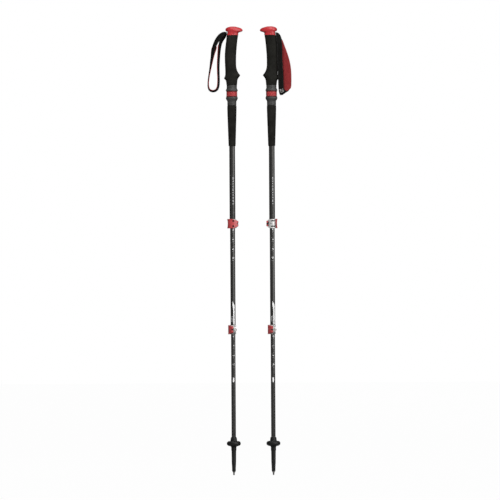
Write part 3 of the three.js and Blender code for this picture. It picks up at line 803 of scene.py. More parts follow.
def make_tube(side, part, outer, inner, slit):
    low, high = ends_mm(f"{side}_{part}_shaft")
    profile = [(inner, low), (outer, low, 0.35), (outer, high, 0.35), (inner, high)]
    tube = lathe(profile, seg=72, steps=3)
    if slit:
        cut(tube, block(x=(0, outer + 2), y=(-0.7, 0.7), z=(low - 1, low + 18.8)),
            rod_x(radius=1.25, x0=0, x1=outer + 2, z=low + 18.6))
    piece(tube, f"tube_{part}", "shaft_anodised", side, f"{part}_section", f"{part}_shaft",
          turn=MID_TURN[side] if part == "mid" else 0.0)


def wrap(o, name, mat, side, part, radius, angle=0.0, z=0.0, quarter=False):
    """bends a flat print round a tube, its middle at an angle from -y towards +x;
    a quarter turn makes its x run down the tube"""
    for v in o.data.vertices:
        x, y, lift = v.co
        around, up = (y, -x) if quarter else (x, y)
        a = angle + around / radius
        v.co = ((radius + lift) * math.sin(a), -(radius + lift) * math.cos(a), z + up)
    label(o, f"{side}_{name}", mat)
    o.data.transform(Matrix.Scale(MM, 4) @ Matrix.Translation((POLE_X[side], 0, 0)))
    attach(o, f"{side}_{part}_section")


def digits(text, height):
    """thin figures, centred"""
    curve = bpy.data.curves.new("t", "FONT")
    curve.body = text
    curve.size = height * 1.42
    curve.offset = 0.05
    curve.align_x, curve.align_y = "CENTER", "CENTER"
    curve.resolution_u = 3
    curve.extrude = 0.03
    writing = add_object("t", curve)
    graph = bpy.context.evaluated_depsgraph_get()
    mesh = bpy.data.meshes.new_from_object(writing.evaluated_get(graph))
    bpy.data.objects.remove(writing)
    edit_mesh(mesh, weld)
    return add_object("work", mesh)


def patch(outline, cols=10):
    """thin printed sheet through rows of (z, start, end); start and end run round the tube"""
    row = cols + 1
    under = len(outline) * row
    verts = [(s, z, lift) for lift in (0.05, -0.02)
             for z, start, end in outline for s in spread(start, end, cols)]
    faces = []
    for i in range(len(outline) - 1):
        for a in range(i * row, i * row + cols):
            b = under + a
            faces += [[a, a + 1, a + row + 1, a + row], [b + row, b + row + 1, b + 1, b]]
    borders = []
    for a in range(0, under - row, row):
        borders += [(a, a + row), (a + row + cols, a + cols)]
    for a in range(cols):
        b = under - row + a
        borders += [(a + 1, a), (b, b + 1)]
    faces += [[a, b, under + b, under + a] for a, b in borders]
    return solid(verts, faces)


def bar(z0, z1, start, end, steps, skew=0.0):
    """outline of a straight patch, shifted round the tube by skew at its upper end"""
    return [(z, start + skew * i / steps, end + skew * i / steps)
            for i, z in enumerate(spread(z0, z1, steps))]


def make_scales(side):
    for tag, part, tube_r, height, half_line, drop in SCALES:
        for number, z in zip(LENGTHS, LENGTH_Z[tag]):
            wrap(digits(number, height), f"mark_{tag}_{number}", "ink_white", side, part,
                 tube_r + FIGURE_LIFT, SCALE_ANGLE[side], z, quarter=True)
            line = patch(bar(-0.35, 0.35, -half_line, half_line, steps=2))
            wrap(line, f"mark_{tag}_line_{number}", "ink_grey", side, part,
                 tube_r + PATCH_LIFT, SCALE_ANGLE[side], z - drop)


def make_stripes(side):
    def share(z, start, end):
        return max(0.0, (z - start) / (end - start))

    # white stripe on the mid tube, widest near its middle, with a slanted upper end
    low, high = STRIPE_EDGES[side]
    outline = []
    for z in spread(STRIPE_BOTTOM, STRIPE_TOP, 30):
        start = (low + (high - low) * 0.28 * min(1.0, share(z, 452.0, 446.0))
                 - 0.5 * share(z, 447.0, STRIPE_TOP))
        end = high - (high - low) * share(z, 455.0, STRIPE_TOP) * 0.97
        outline.append((z, start, max(end, start + 0.12)))
    wrap(patch(outline), "stripe_mid", "ink_white", side, "mid", MID_R + PATCH_LIFT)
    # four slanted bars beside it
    for k in range(4):
        z = 411.5 + k * 3.9
        wrap(patch(bar(z, z + 2.1, -5.2, -1.1, steps=3, skew=0.5)), f"stripe_bar_{k}",
             "ink_grey", side, "mid", MID_R + PATCH_LIFT)
    # column of bars on the upper tube
    z, k = UPPER_BARS_TOP, 0
    while z > UPPER_BARS_END:
        height = UPPER_BARS[k % len(UPPER_BARS)]
        wrap(patch(bar(z - height, z, 1.0, 3.0, steps=3)), f"stripe_upper_{k}",
             "ink_grey", side, "upper", UPPER_R + PATCH_LIFT)
        z -= height + UPPER_BARS_GAP
        k += 1
    # oval badge on the lower tube
    outline = []
    for i, z in enumerate(spread(249.0, 262.0, 12)):
        half = 1.95 * min(1.0, 0.35 + 0.65 * math.sin(math.pi * i / 12) ** 0.5)
        outline.append((z, -half, half))
    wrap(patch(outline), "badge_lower", "ink_white", side, "lower",
         LOWER_R + PATCH_LIFT, math.radians(4))


def make_tubes(side):
    for tube in TUBES:
        make_tube(side, *tube)
    make_scales(side)
    make_stripes(side)


# ------------------------------------------------------------------ lever locks
# A lock lies about its own middle: the ears point to +x, the screw's head faces +y, the lever's
# pivot is on the -y side and the lever wraps round that side of the tube.
LOCK_Z = {level: centre_mm(f"left_{level}_lock_band", 2) for level in ("upper", "lower")}
LEVER_BOTTOM, LEVER_TOP = ends_mm("left_upper_lock_lever")
LOCK_H = LEVER_TOP - LEVER_BOTTOM
BAND_HALF = LOCK_H / 2 - 0.3
BAND_WALL, BAND_GAP = 0.9, 0.2
EAR_IN, EAR_OUT = 0.9, 2.9                      # the two ears lie between these, either side of y = 0
PIVOT_X, PIVOT_Y = 12.4, -6.6
HEAD_R, BARREL_R, SCREW_R = 3.3, 2.2, 1.3
SCREW_HOLE_R = SCREW_R + 0.35
LEVER_IN, LEVER_OUT = 10.6, 13.4
LEVER_START, LEVER_START_IN, LEVER_END = -62, -52, -166     # degrees round the tube
SLOT = 1.75                                     # half width of the screw's slot in the lever
LIP = [                                         # x, y of the hooked lip at the lever's free end
    (-LEVER_OUT - 0.25, -1.9), (-LEVER_OUT - 0.75, -0.6), (-LEVER_OUT - 0.8, 0.5),
    (-LEVER_OUT - 0.3, 1.3), (-LEVER_OUT + 0.6, 1.5), (-LEVER_OUT + 1.3, 0.9),
    (-LEVER_IN - 0.35, -0.7),
]
LEVER_ROOT = [                                  # x, y from the inner curve round to the outer one
    (7.6, -7.45), (9.0, PIVOT_Y - 0.1), (PIVOT_X, PIVOT_Y),
    (PIVOT_X, PIVOT_Y - HEAD_R + 0.05), (11.0, -10.35), (9.4, -10.95), (8.0, -11.35),
]
LEVER_UPPER_EDGE = [                            # x, z
    (-14.8, 12.4), (-13.6, 12.5), (-9.0, 12.5), (-4.0, 12.4), (0.0, 12.1), (3.2, 11.55),
    (6.0, 10.75), (8.6, 9.8), (10.6, 8.8), (12.4, 7.9), (14.2, 7.2), (16.4, 6.8),
]
LEVER_FREE_EDGE = [                             # x, z
    (-13.9, 10.6), (-13.35, 7.6), (-12.98, 4.0), (-12.86, 0.0), (-12.98, -4.0),
    (-13.35, -7.6), (-13.9, -10.6),
]
POCKET = [(-0.6, 5.2), (2.6, 4.2), (4.4, 5.8), (4.0, 9.0), (1.8, 10.4), (-0.8, 9.2)]    # x, z
RIVET = [                                       # radius, height and fillet
    (0, -0.5), (1.35, -0.5), (1.35, 0.15, 0.1), (0.95, 0.55, 0.3), (0.45, 0.6, 0.1),
    (0.4, 0.35, 0.05), (0, 0.35),
]
BARREL = [
    (0, -6.4), (1.7, -6.4), (BARREL_R, -5.9, 0.2), (BARREL_R, 5.9, 0.2), (1.7, 6.4), (0, 6.4),
]
SCREW = [                                       # radius, y and fillet
    (0, PIVOT_Y - 0.8), (1.0, PIVOT_Y - 0.8), (SCREW_R, PIVOT_Y - 0.5),
    (SCREW_R, EAR_OUT + 0.3), (2.6, EAR_OUT + 0.3, 0.2), (2.6, EAR_OUT + 1.7, 0.2),
    (2.15, EAR_OUT + 2.4, 0.3), (0, EAR_OUT + 2.4),
]


def band_slot(z0, z1, outer):
    """cutter for a round-ended slot in the band's +y side, open towards -x"""
    r = (z1 - z0) / 2
    x, middle = 3.4 - r, (z0 + z1) / 2
    points = [(-outer - 2, z0), (x, z0)]
    points += [(x + u, middle + v) for u, v in arc(r, -75, 75, 10)]
    points += [(x, z1), (-outer - 2, z1)]
    return prism(points, 0.8, outer + 2, "xz")


def clamp_band(inner, outer):
    """split band with two ears"""
    inner_gap = math.degrees(math.asin(EAR_IN / inner))
    outer_gap = math.degrees(math.asin(EAR_OUT / outer))
    o = prism(arc(outer, outer_gap, 360 - outer_gap, 72)
              + arc(inner, 360 - inner_gap, inner_gap, 72), -BAND_HALF, BAND_HALF)
    ear = mirrored([
        (outer - 0.7, -BAND_HALF + 0.2), (outer + 0.6, -BAND_HALF + 0.6),
        (PIVOT_X + 1.4, -7.6), (PIVOT_X + 2.5, -6.9), (PIVOT_X + 3.0, -5.6)])
    join(o, prism(ear, EAR_IN, EAR_OUT, "xz"), prism(ear, -EAR_OUT, -EAR_IN, "xz"))
    cut(o, rod_y(SCREW_HOLE_R, y0=-6, y1=6, x=PIVOT_X, z=0, seg=24),
        band_slot(5.6, 8.6, outer), band_slot(-9.2, -5.8, outer))
    bevel(tidy(o), width=0.16, segments=2, angle=40)
    return tidy(o)


def band_rivet(outer):
    """rivet standing out of the band on its +y side"""
    o = lathe(RIVET, seg=24)
    a = math.atan2(math.sqrt(outer * outer - EAR_OUT * EAR_OUT), EAR_OUT)
    o.data.transform(Matrix.Rotation(a, 4, "Z") @ Matrix.Translation((outer, 0, 0))
                     @ Matrix.Rotation(math.pi / 2, 4, "Y"))
    return o


def seat_plate(outer):
    """thin plate under the screw's head"""
    outline = mirrored([
        (outer + 1.9, -7.0), (outer + 2.3, -7.5), (PIVOT_X + 1.2, -7.3),
        (PIVOT_X + 2.3, -6.6), (PIVOT_X + 2.8, -5.4)])
    o = prism(outline, EAR_OUT, EAR_OUT + 0.26, "xz")
    cut(o, rod_y(SCREW_HOLE_R, y0=0, y1=6, x=PIVOT_X, z=0, seg=24))
    return tidy(o)


def seat_shadow_strip(outer):
    """black strip at the seat plate's root, standing for the shadow there: painted shade"""
    outline = mirrored([(outer + 0.1, -8.2), (outer + 1.8, -7.6)])
    return tidy(prism(outline, EAR_OUT, EAR_OUT + 0.22, "xz"))


def lock_lever():
    """thick curved plate round the tube, with a head about the barrel and two pockets whose floors
    are painted dark red as painted shade
    """
    o = prism(arc(LEVER_OUT, LEVER_START, LEVER_END, 40) + LIP
              + arc(LEVER_IN, LEVER_END, LEVER_START_IN, 40) + LEVER_ROOT, -LOCK_H, LOCK_H)
    join(o, rod_z(HEAD_R, -LOCK_H, LOCK_H, PIVOT_X, PIVOT_Y, seg=40))
    outline = (LEVER_UPPER_EDGE[::-1] + LEVER_FREE_EDGE
               + [(x, -z) for x, z in LEVER_UPPER_EDGE])
    boolean(o, "INTERSECT", prism(outline, -20, 20, "xz"))
    cut(o, rod_z(BARREL_R + 0.3, -LOCK_H, LOCK_H, PIVOT_X, PIVOT_Y, seg=32),
        block((PIVOT_X - 2.2, PIVOT_X + 6), (PIVOT_Y, PIVOT_Y + 6), (-SLOT, SLOT)),
        block((PIVOT_X - 0.2, PIVOT_X + 6), (PIVOT_Y - 6, PIVOT_Y + 0.2), (-SLOT, SLOT)))
    pockets = [prism([(x, s * z) for x, z in POCKET], -LEVER_OUT - 2, -LEVER_OUT + 1.9, "xz")
               for s in (1, -1)]
    cut(o, *[tidy(pocket) for pocket in pockets])
    bevel(tidy(o), width=0.5, segments=3, angle=38)
    tidy(o)
    # the faces deep in the two pockets get the dark red of painted shade
    paint(o, "red_lever", "painted_pocket_floor_shade")
    for face in o.data.polygons:
        x, y, z = face.center
        pocket_floor_painted = (-1.0 < x < 4.7 and 4.0 < abs(z) < 10.6
                     and -LEVER_OUT + 0.85 < y < -LEVER_OUT + 2.2)
        face.material_index = 1 if pocket_floor_painted else 0
    return o


def pivot_barrel():
    """barrel with a cross hole for the screw and a hexagonal socket in each end"""
    o = lathe(BARREL, seg=40)
    o.data.transform(Matrix.Translation((PIVOT_X, PIVOT_Y, 0)))
    sockets = [rod_z(0.95, z, z + 1.6, PIVOT_X, PIVOT_Y, seg=6) for z in (5.2, -6.8)]
    cut(o, rod_y(SCREW_R + 0.25, PIVOT_Y - 1.1, PIVOT_Y + 5, x=PIVOT_X, z=0, seg=20), *sockets)
    return tidy(o)


def tension_screw():
    o = lathe(SCREW, seg=40)
    o.data.transform(Matrix.Rotation(-math.pi / 2, 4, "X"))
    o.data.transform(Matrix.Translation((PIVOT_X, 0, 0)))
    cut(o, rod_y(1.15, EAR_OUT + 1.1, EAR_OUT + 4, x=PIVOT_X, z=0, seg=6))
    bevel(tidy(o), width=0.08, segments=1, angle=50)
    return tidy(o)


def make_lock(side, level, tube_r, turn, body):
    def place(o, name, mat, rides=body, **told):
        piece(o, f"{level}_{name}", mat, side, rides, turn=turn, z=LOCK_Z[level], **told)

    inner = tube_r + BAND_GAP
    outer = inner + BAND_WALL
    place(clamp_band(inner, outer), "clamp_band", "silver_alloy", node=f"{level}_lock_band")
    place(band_rivet(outer), "band_rivet", "black_plastic", slot="silver_alloy")
    place(seat_plate(outer), "seat_plate", "red_lever")
    # black strip as painted shade at the seat plate's root
    place(seat_shadow_strip(outer), "seat_shadow_strip", "black_plastic")
    place(lock_lever(), "lever", None, f"{level}_lever", slot="red_lever",
          node=f"{level}_lock_lever", smooth=40)
    place(pivot_barrel(), "pivot_barrel", "dark_steel", slot="steel",
          node=f"{level}_lock_barrel")
    place(tension_screw(), "tension_screw", "dark_steel", f"{level}_screw", slot="steel",
          node=f"{level}_lock_screw")


# ------------------------------------------------------------------ foot: basket, tip, socket, point
# the profiles hold radius, z and fillet, if any
BASKET = [
    (6.2, 65.4), (6.75, 65.4, 0.25), (6.9, 66.2, 0.3), (6.9, 74.0), (7.3, 76.2, 0.8),
    (9.5, 77.6, 1.0), (15.0, 79.0, 1.0), (18.0, 81.5, 1.2), (18.75, 84.8, 1.2),
    (18.0, 88.4, 1.2), (15.0, 91.0, 1.0), (10.0, 91.6, 0.5), (8.95, 92.5, 0.4), (8.75, 94.2),
    (8.3, 98.2), (7.85, 101.0, 0.5), (7.3, 101.6, 0.2), (6.2, 101.6),
]
# openings in the basket: number, distance out, half length outwards, half width
OPENINGS, OPENING_R, OPENING_LONG, OPENING_WIDE = 6, 13.6, 2.2, 2.9
TIP_MOUTH = [
    (0, 26), (3.65, 26), (3.65, 9.9), (4.35, 9.9, 0.2), (4.75, 10.4, 0.3), (4.95, 13.0),
    (5.1, 17.0, 0.2),
]
TIP_BODY = [
    (5.75, 32.0, 0.5), (5.9, 37.0), (6.02, 48.0), (6.18, 63.6), (6.2, 64.7, 0.2),
    (5.9, 65.1, 0.1),
]
TIP_NECK = [(5.7, 86.8, 0.2), (4.8, 86.8), (4.8, 117.6, 0.3), (4.4, 118.0), (0, 118.0)]
SOCKET = [
    (0, 14), (2.35, 14), (2.35, 6.7), (2.9, 6.7, 0.2), (3.35, 8.2, 0.4), (3.4, 9.6),
    (3.4, 25.2, 0.2), (3.1, 25.6), (0, 25.6),
]
POINT = [
    (0, 0.35), (0.75, 0.3, 0.1), (1.05, 0, 0.1), (1.3, 0, 0.08), (1.6, 0.5), (2.1, 1.8, 0.2),
    (2.1, 13.7), (0, 13.7),
]


def make_basket(side):
    basket = lathe(BASKET, seg=96)
    openings = []
    for i in range(OPENINGS):
        a = (i + 0.5) * 2 * math.pi / OPENINGS
        points = []
        for k in range(20):
            t = 2 * math.pi * k / 20
            r, w = OPENING_R + OPENING_LONG * math.cos(t), OPENING_WIDE * math.sin(t)
            points.append((r * math.cos(a) - w * math.sin(a), r * math.sin(a) + w * math.cos(a)))
        openings.append(prism(points, 70, 96))
    cut(basket, *openings)
    bevel(tidy(basket), width=0.3, segments=2, angle=45)
    piece(tidy(basket), "basket_disc", "basket_plastic", side, "basket_ring", "basket", smooth=38)


def tip_profile():
    """four grooved rings above the mouth, and nine small teeth inside the basket"""
    rings = []
    for k in range(4):
        z = 18.0 + k * 2.6
        r = 5.15 + 0.035 * (z - 17)
        rings += [(r, z, 0.2), (r - 0.35, z + 0.4, 0.15), (r - 0.33, z + 0.9, 0.15),
                  (r + 0.05, z + 1.3, 0.2)]
    teeth = []
    for k in range(9):
        z = 66.0 + k * 2.2
        teeth += [(5.55, z, 0.1), (5.9, z + 0.8, 0.1), (5.9, z + 1.1, 0.1)]
    return TIP_MOUTH + rings + TIP_BODY + teeth + TIP_NECK


def make_foot(side):
    make_basket(side)
    piece(tidy(lathe(tip_profile(), seg=64, steps=3)), "tip_flexible", "basket_plastic", side,
          "lower_section", "flex_tip", smooth=32)
    piece(tidy(lathe(SOCKET, seg=48)), "tip_socket", "steel", side,
          "lower_section", "tip_ferrule", smooth=32)
    point = lathe(POINT, seg=40)
    # eight notches round the rim
    cut(point, *[rod_z(0.28, -1, 1.5, x, y, seg=12) for x, y in circle(1.5, 8)])
    piece(tidy(point), "carbide_tip", "carbide", side, "lower_section", "carbide_point", smooth=32)


# ------------------------------------------------------------------ wrist straps
# Each run starts in the cap's slot, goes down the outer side of the loop and comes back up.
WEB, PAD = 14.6, 22.2                           # widths of the webbing and the full pad
STRAP_STEPS = 300
# left: x, z, roll about the run in degrees, pad width; the loop opens in the xz plane
LEFT_RUN = [
    (-2.45, 1183.4, 0, 14), (-3.1, 1184.85, 0, 14), (-4.6, 1185.6, 0, 14),
    (-7.0, 1184.9, 0, 14), (-9.6, 1184.15, 0, 14), (-13.4, 1184.2, 10, 14),
    (-18.0, 1182.8, 36, 14), (-23.5, 1179.8, 54, 14), (-29.5, 1175.4, 58, 14),
    (-35.2, 1168.9, 57, 15), (-40.4, 1160.4, 53, 17), (-44.9, 1150.6, 46, 19),
    (-48.2, 1140.6, 37, 21), (-50.9, 1130.0, 28, PAD), (-53.0, 1118.6, 21, PAD),
    (-55.0, 1108.0, 18, PAD), (-57.0, 1095.0, 12, PAD), (-59.2, 1082.0, 8, PAD),
    (-61.4, 1069.0, 5, PAD), (-63.0, 1057.0, 4, PAD), (-63.7, 1046.0, 4, PAD),
    (-62.8, 1036.8, 6, PAD), (-58.9, 1029.8, 9, PAD), (-52.0, 1027.0, 10, PAD),
    (-45.0, 1027.8, 11, PAD), (-39.2, 1031.8, 12, PAD), (-35.9, 1039.0, 13, 21),
    (-34.6, 1049.0, 14, 20), (-34.3, 1060.0, 14, 19.4), (-34.7, 1074.0, 15, 19),
    (-35.0, 1090.0, 16, 19), (-34.5, 1106.0, 17, 19), (-33.5, 1122.0, 18, 19),
    (-32.4, 1136.0, 21, 18), (-31.2, 1147.2, 27, 17), (-29.5, 1156.6, 35, 15.4),
    (-26.2, 1164.9, 42, 14.4), (-21.6, 1171.7, 42, 14), (-17.0, 1177.0, 30, 14),
    (-13.4, 1180.3, 9, 14), (-9.4, 1181.7, 0, 14), (-6.6, 1181.3, 0, 14),
    (-4.6, 1181.2, 0, 14), (-3.1, 1181.95, 0, 14), (-2.5, 1183.2, 0, 14),
]
# right: x, y, z, turn of the width about the vertical from +y to +x, its lift (degrees),
# width added to the webbing, pad width
RIGHT_RUN = [
    (-2.45, 0.0, 1183.4, 0, 0, 0, 14), (-3.1, 0.0, 1184.85, 0, 0, 0, 14),
    (-4.6, 0.0, 1185.6, 0, 0, 0, 14), (-7.0, 0.0, 1184.9, 0, 0, 0, 14),
    (-9.6, 0.0, 1184.15, 0, 0, 0, 14), (-12.8, 0.1, 1184.0, 6, -2, 0, 14),
    (-16.0, 1.0, 1182.0, 24, -6, 0, 14), (-17.9, 3.4, 1177.2, 50, -8, 0, 14),
    (-19.9, 6.4, 1170.6, 72, -5, 0, 14), (-20.9, 9.0, 1161.6, 84, -2, 0, 14),
    (-22.1, 10.8, 1151.0, 89, 0, 0, 13), (-22.3, 11.5, 1136.0, 90, 0, 0, 12.8),
    (-22.6, 11.7, 1116.0, 90, 0, 0, 12.8), (-23.4, 11.7, 1096.0, 90, 0, 0, 12.8),
    (-24.6, 11.5, 1076.0, 90, 0, 0, 12.8), (-25.2, 11.1, 1058.0, 90, -1, 0, 12.8),
    (-25.6, 10.4, 1043.0, 90, -5, 0, 13.2), (-26.7, 9.0, 1031.4, 90, -15, 0.6, 15),
    (-30.0, 5.8, 1023.8, 90, -27, 2.4, 19), (-35.6, 0.6, 1021.8, 90, -34, 4, 23.6),
    (-40.0, -3.6, 1026.4, 90, -31, 3, 25), (-42.0, -5.6, 1035.6, 90, -20, 1, 23.6),
    (-42.5, -6.2, 1047.6, 90, -8, 0, 22.4), (-42.7, -6.4, 1062.0, 90, -1, 0, PAD),
    (-42.3, -6.4, 1078.0, 90, -4, 0, PAD), (-40.7, -6.2, 1094.0, 90, -9, 0, PAD),
    (-37.7, -5.9, 1110.0, 90, -12, 0, 21.4), (-34.0, -5.2, 1126.0, 89, -13, 0, 19.4),
    (-30.2, -4.2, 1140.0, 84, -13, 0, 17), (-26.9, -3.0, 1152.0, 72, -12, 0, 15),
    (-24.2, -1.6, 1162.4, 52, -12, 0, 14.4), (-21.2, -0.4, 1171.4, 32, -11, 0, 14),
    (-17.2, 0.1, 1177.8, 14, -8, 0, 14), (-13.6, 0.0, 1180.8, 4, -2, 0, 14),
    (-9.6, 0.0, 1181.7, 0, 0, 0, 14), (-6.6, 0.0, 1181.3, 0, 0, 0, 14),
    (-4.6, 0.0, 1181.2, 0, 0, 0, 14), (-3.1, 0.0, 1181.95, 0, 0, 0, 14),
    (-2.5, 0.0, 1183.2, 0, 0, 0, 14),
]
# heights where the padded lining starts and ends
LINING_TOP = {"left": (1150.0, 1153.0), "right": (1146.0, 1164.0)}
PAD_END = 12.6                                  # pad width at its two ends
PAD_FACE = -0.62                                # offset of the pad's outer face
WEB_TOP, WEB_BOTTOM = 0.75, -0.55               # offsets of the webbing's faces
# one stitch: share of its length, half width, lift
STITCH = [(0.0, 0.05, -0.1), (0.2, 0.2, 0.1), (0.5, 0.26, 0.2), (0.8, 0.2, 0.1), (1.0, 0.05, -0.1)]
# its section: shares of the half width sideways and upwards
STITCH_SECTION = [(-1, 0), (-0.6, 0.8), (0.6, 0.8), (1, 0), (0.5, -0.6), (-0.5, -0.6)]


def left_stations():
    """centre, width direction, width and pad width along the left strap"""
    stations = []
    for i, (x, z, roll, pad) in enumerate(LEFT_RUN):
        before, after = LEFT_RUN[max(i - 1, 0)], LEFT_RUN[min(i + 1, len(LEFT_RUN) - 1)]
        tangent = Vector((after[0] - before[0], 0, after[1] - before[1])).normalized()
        out = Vector((0, 1, 0)).cross(tangent)
        a = math.radians(roll)
        width_way = Vector((0, 1, 0)) * math.cos(a) + out * math.sin(a)
        lean = -1.4 if 7 < i < 14 else 0.0
        stations.append((Vector((x, lean, z)), width_way, WEB, pad))
    return stations


def right_stations():
    """the same for the right strap"""
    stations = []
    for x, y, z, turn, lift, extra, pad in RIGHT_RUN:
        a, b = math.radians(turn), math.radians(lift)
        width_way = Vector((math.sin(a) * math.cos(b), math.cos(a) * math.cos(b), math.sin(b)))
        stations.append((Vector((x, y, z)), width_way, WEB + extra, pad))
    return stations


def running_lengths(points):
    lengths = [0.0]
    for a, b in zip(points, points[1:]):
        lengths.append(lengths[-1] + (Vector(b[:3]) - Vector(a[:3])).length)
    return lengths


def spline(points, count):
    """Catmull-Rom through the points, as (distance, point) spaced evenly along the path"""
    ended = [points[0], *points, points[-1]]
    fine = []
    for p0, p1, p2, p3 in zip(ended, points, ended[2:], ended[3:]):
        for k in range(24):
            t = k / 24
            fine.append(0.5 * ((2 * p1) + (p2 - p0) * t + (2 * p0 - 5 * p1 + 4 * p2 - p3) * t * t
                               + (3 * p1 - p0 - 3 * p2 + p3) * t ** 3))
    fine.append(points[-1])
    lengths = running_lengths(fine)
    placed, j = [], 0
    for i in range(count + 1):
        d = lengths[-1] * i / count
        while j < len(fine) - 2 and lengths[j + 1] < d:
            j += 1
        gap = max(lengths[j + 1] - lengths[j], 1e-9)
        placed.append((d, fine[j].lerp(fine[j + 1], min((d - lengths[j]) / gap, 1.0))))
    return placed


class Ribbon:
    """A band given by pairs of edge points. Its normals point out of the loop."""

    def __init__(self, edges, count):
        points = [Vector((*((a + b) / 2), *((a - b) / 2))) for a, b in edges]
        placed = spline(points, count)
        self.distance = [d for d, _ in placed]
        self.centre = [Vector(v[:3]) for _, v in placed]
        self.half = [Vector(v[3:6]) for _, v in placed]
        self.normal = []
        for i, half in enumerate(self.half):
            ahead, back = self.centre[min(i + 1, count)], self.centre[max(i - 1, 0)]
            self.normal.append((ahead - back).normalized().cross(half).normalized() * -1)

    def at(self, i, u, offset, width=None):
        """point at share u (-1..1) of the half width, offset outwards"""
        half = self.half[i]
        if width is not None:
            half = half.normalized() * (width / 2)
        return self.centre[i] + half * u + self.normal[i] * offset


def band(ribbon, first, last, outline, width_of):
    """closed band whose section runs round (u, offset) points; UVs in millimetres"""
    verts, uvs = [], []
    for i in range(first, last + 1):
        width = width_of(i)
        for u, offset in outline:
            verts.append(tuple(ribbon.at(i, u, offset, width)))
            uvs.append((u * width / 2, ribbon.distance[i]))
    rings, n = last - first + 1, len(outline)
    mesh = bpy.data.meshes.new("m")
    mesh.from_pydata(verts, [], quads(rings, n) + ends(rings, n))
    layer = mesh.uv_layers.new(name="UVMap")
    for loop in mesh.loops:
        layer.data[loop.index].uv = uvs[loop.vertex_index]
    edit_mesh(mesh, face_outwards)
    return add_object("work", mesh)


def strap_piece(o, name, mat, side):
    """places a strap piece and bakes its placement into its mesh"""
    piece(o, f"strap_{name}", mat, side, slot="strap_webbing", smooth=60)
    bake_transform(o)


def make_web(side, ribbon):
    middle = (WEB_TOP + WEB_BOTTOM) / 2
    shoulder = middle + (WEB_TOP - middle) * 0.62
    face = [(-0.985, shoulder), (-0.955, WEB_TOP)]
    face += [(u, WEB_TOP) for u in spread(-0.9, 0.9, 7)]
    face += [(0.955, WEB_TOP), (0.985, shoulder), (1.0, middle)]
    outline = face + [(-u, 2 * middle - offset) for u, offset in face]
    web = band(ribbon, 0, STRAP_STEPS, outline, lambda i: 2 * ribbon.half[i].length)
    strap_piece(web, "web", "strap_webbing", side)
    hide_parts(f"{side}_wrist_strap")


def make_pad(side, ribbon, first, last, pad_width):
    """pad on the loop's inner side: backing outwards, domed lining inwards"""
    backing = [(-1.0, -0.95), *((u, PAD_FACE) for u in spread(-0.93, 0.93, 9)), (1.0, -0.95)]
    lining = [(u, PAD_FACE - 1.15 - 0.32 * (1 - (u / 0.93) ** 2))
              for u in spread(0.93, -0.93, 9)]
    pad = band(ribbon, first, last, backing + lining, pad_width)
    paint(pad, "strap_backing", "strap_lining")
    around = len(backing) + len(lining)
    for face in pad.data.polygons:
        inside = min(v % around for v in face.vertices) >= len(backing) - 1
        face.material_index = 1 if len(face.vertices) == 4 and inside else 0
    strap_piece(pad, "pad", None, side)


def make_piping(side, ribbon, first, last, pad_width):
    """piping along the pad's borders; on the right strap one border changes colour"""
    if side == "left":
        inset = 0.1
        edge = [("edge", first, last, 0.72, "red_binding")]
        runs = {"a": edge, "b": edge}
    else:
        inset = 0.6
        change = next(i for i in range(first, last) if ribbon.centre[i].y < -4.0)
        runs = {"a": [("near", first, change, 0.4, "thread"), ("far", change, last, 0.5, "piping")],
                "b": [("edge", first, last, 0.45, "red_binding")]}
    for tag, u in (("a", 1.0), ("b", -1.0)):
        for kind, start, end, radius, mat in runs[tag]:
            path = [ribbon.at(i, u, -1.25, pad_width(i) - inset)
                    for i in range(start, end + 1, 2)]
            strap_piece(swept(path, radius), f"piping_{tag}_{kind}", mat, side)


def make_stitches(side, ribbon):
    """a row of stitches along each border of the outer face"""
    for tag, u in (("a", 0.80), ("b", -0.80)):
        verts, faces = [], []
        for i in range(15, STRAP_STEPS - 17, 3):
            start, end = ribbon.at(i, u, 0.78), ribbon.at(i + 2, u, 0.78)
            up = (ribbon.normal[i] + ribbon.normal[i + 2]).normalized()
            across = ribbon.half[i].normalized()
            size = len(STITCH), len(STITCH_SECTION)
            faces += quads(*size, len(verts)) + ends(*size, len(verts))
            for share, half, lift in STITCH:
                middle = start.lerp(end, share)
                verts += [tuple(middle + across * (half * sideways)
                                + up * (lift * 0.5 + half * upwards * 0.8))
                          for sideways, upwards in STITCH_SECTION]
        strap_piece(solid(verts, faces), f"stitches_{tag}", "thread", side)


def make_bar_tacks(side, ribbon):
    """three tacks across the outer face, before the lowest point of the loop"""
    lowest = min(range(STRAP_STEPS), key=lambda i: ribbon.centre[i].z)
    for k, back in enumerate((7, 10, 13)):
        path = [ribbon.at(lowest - back, u, 0.86 + (0.12 if j % 2 else 0.0))
                for j, u in enumerate(spread(-0.62, 0.62, 14))]
        strap_piece(swept(path, 0.42), f"bar_tack_{k}", "thread_pale", side)


def make_strap(side):
    stations = left_stations() if side == "left" else right_stations()
    edges = []
    for centre, width_way, width, _ in stations:
        half = width_way.normalized() * (width / 2)
        edges.append((centre + half, centre - half))
    ribbon = Ribbon(edges, STRAP_STEPS)
    lengths = running_lengths([station[0] for station in stations])
    full_width = smooth_curve([d / lengths[-1] for d in lengths],
                              [station[3] for station in stations])
    first_top, last_top = LINING_TOP[side]
    first = next(i for i in range(STRAP_STEPS) if ribbon.centre[i].z < first_top)
    last = next(i for i in range(STRAP_STEPS, 0, -1) if ribbon.centre[i].z < last_top)

    def pad_width(i):
        """full width, rounded off over nine steps at each end"""
        t = max(0.0, min(1.0, (i - first) / 9.0, (last - i) / 9.0))
        full = full_width(ribbon.distance[i] / ribbon.distance[-1])
        return PAD_END + (full - PAD_END) * math.sqrt(t * (2 - t))

    make_web(side, ribbon)
    make_pad(side, ribbon, first, last, pad_width)
    make_piping(side, ribbon, first, last, pad_width)
    make_stitches(side, ribbon)
    make_bar_tacks(side, ribbon)


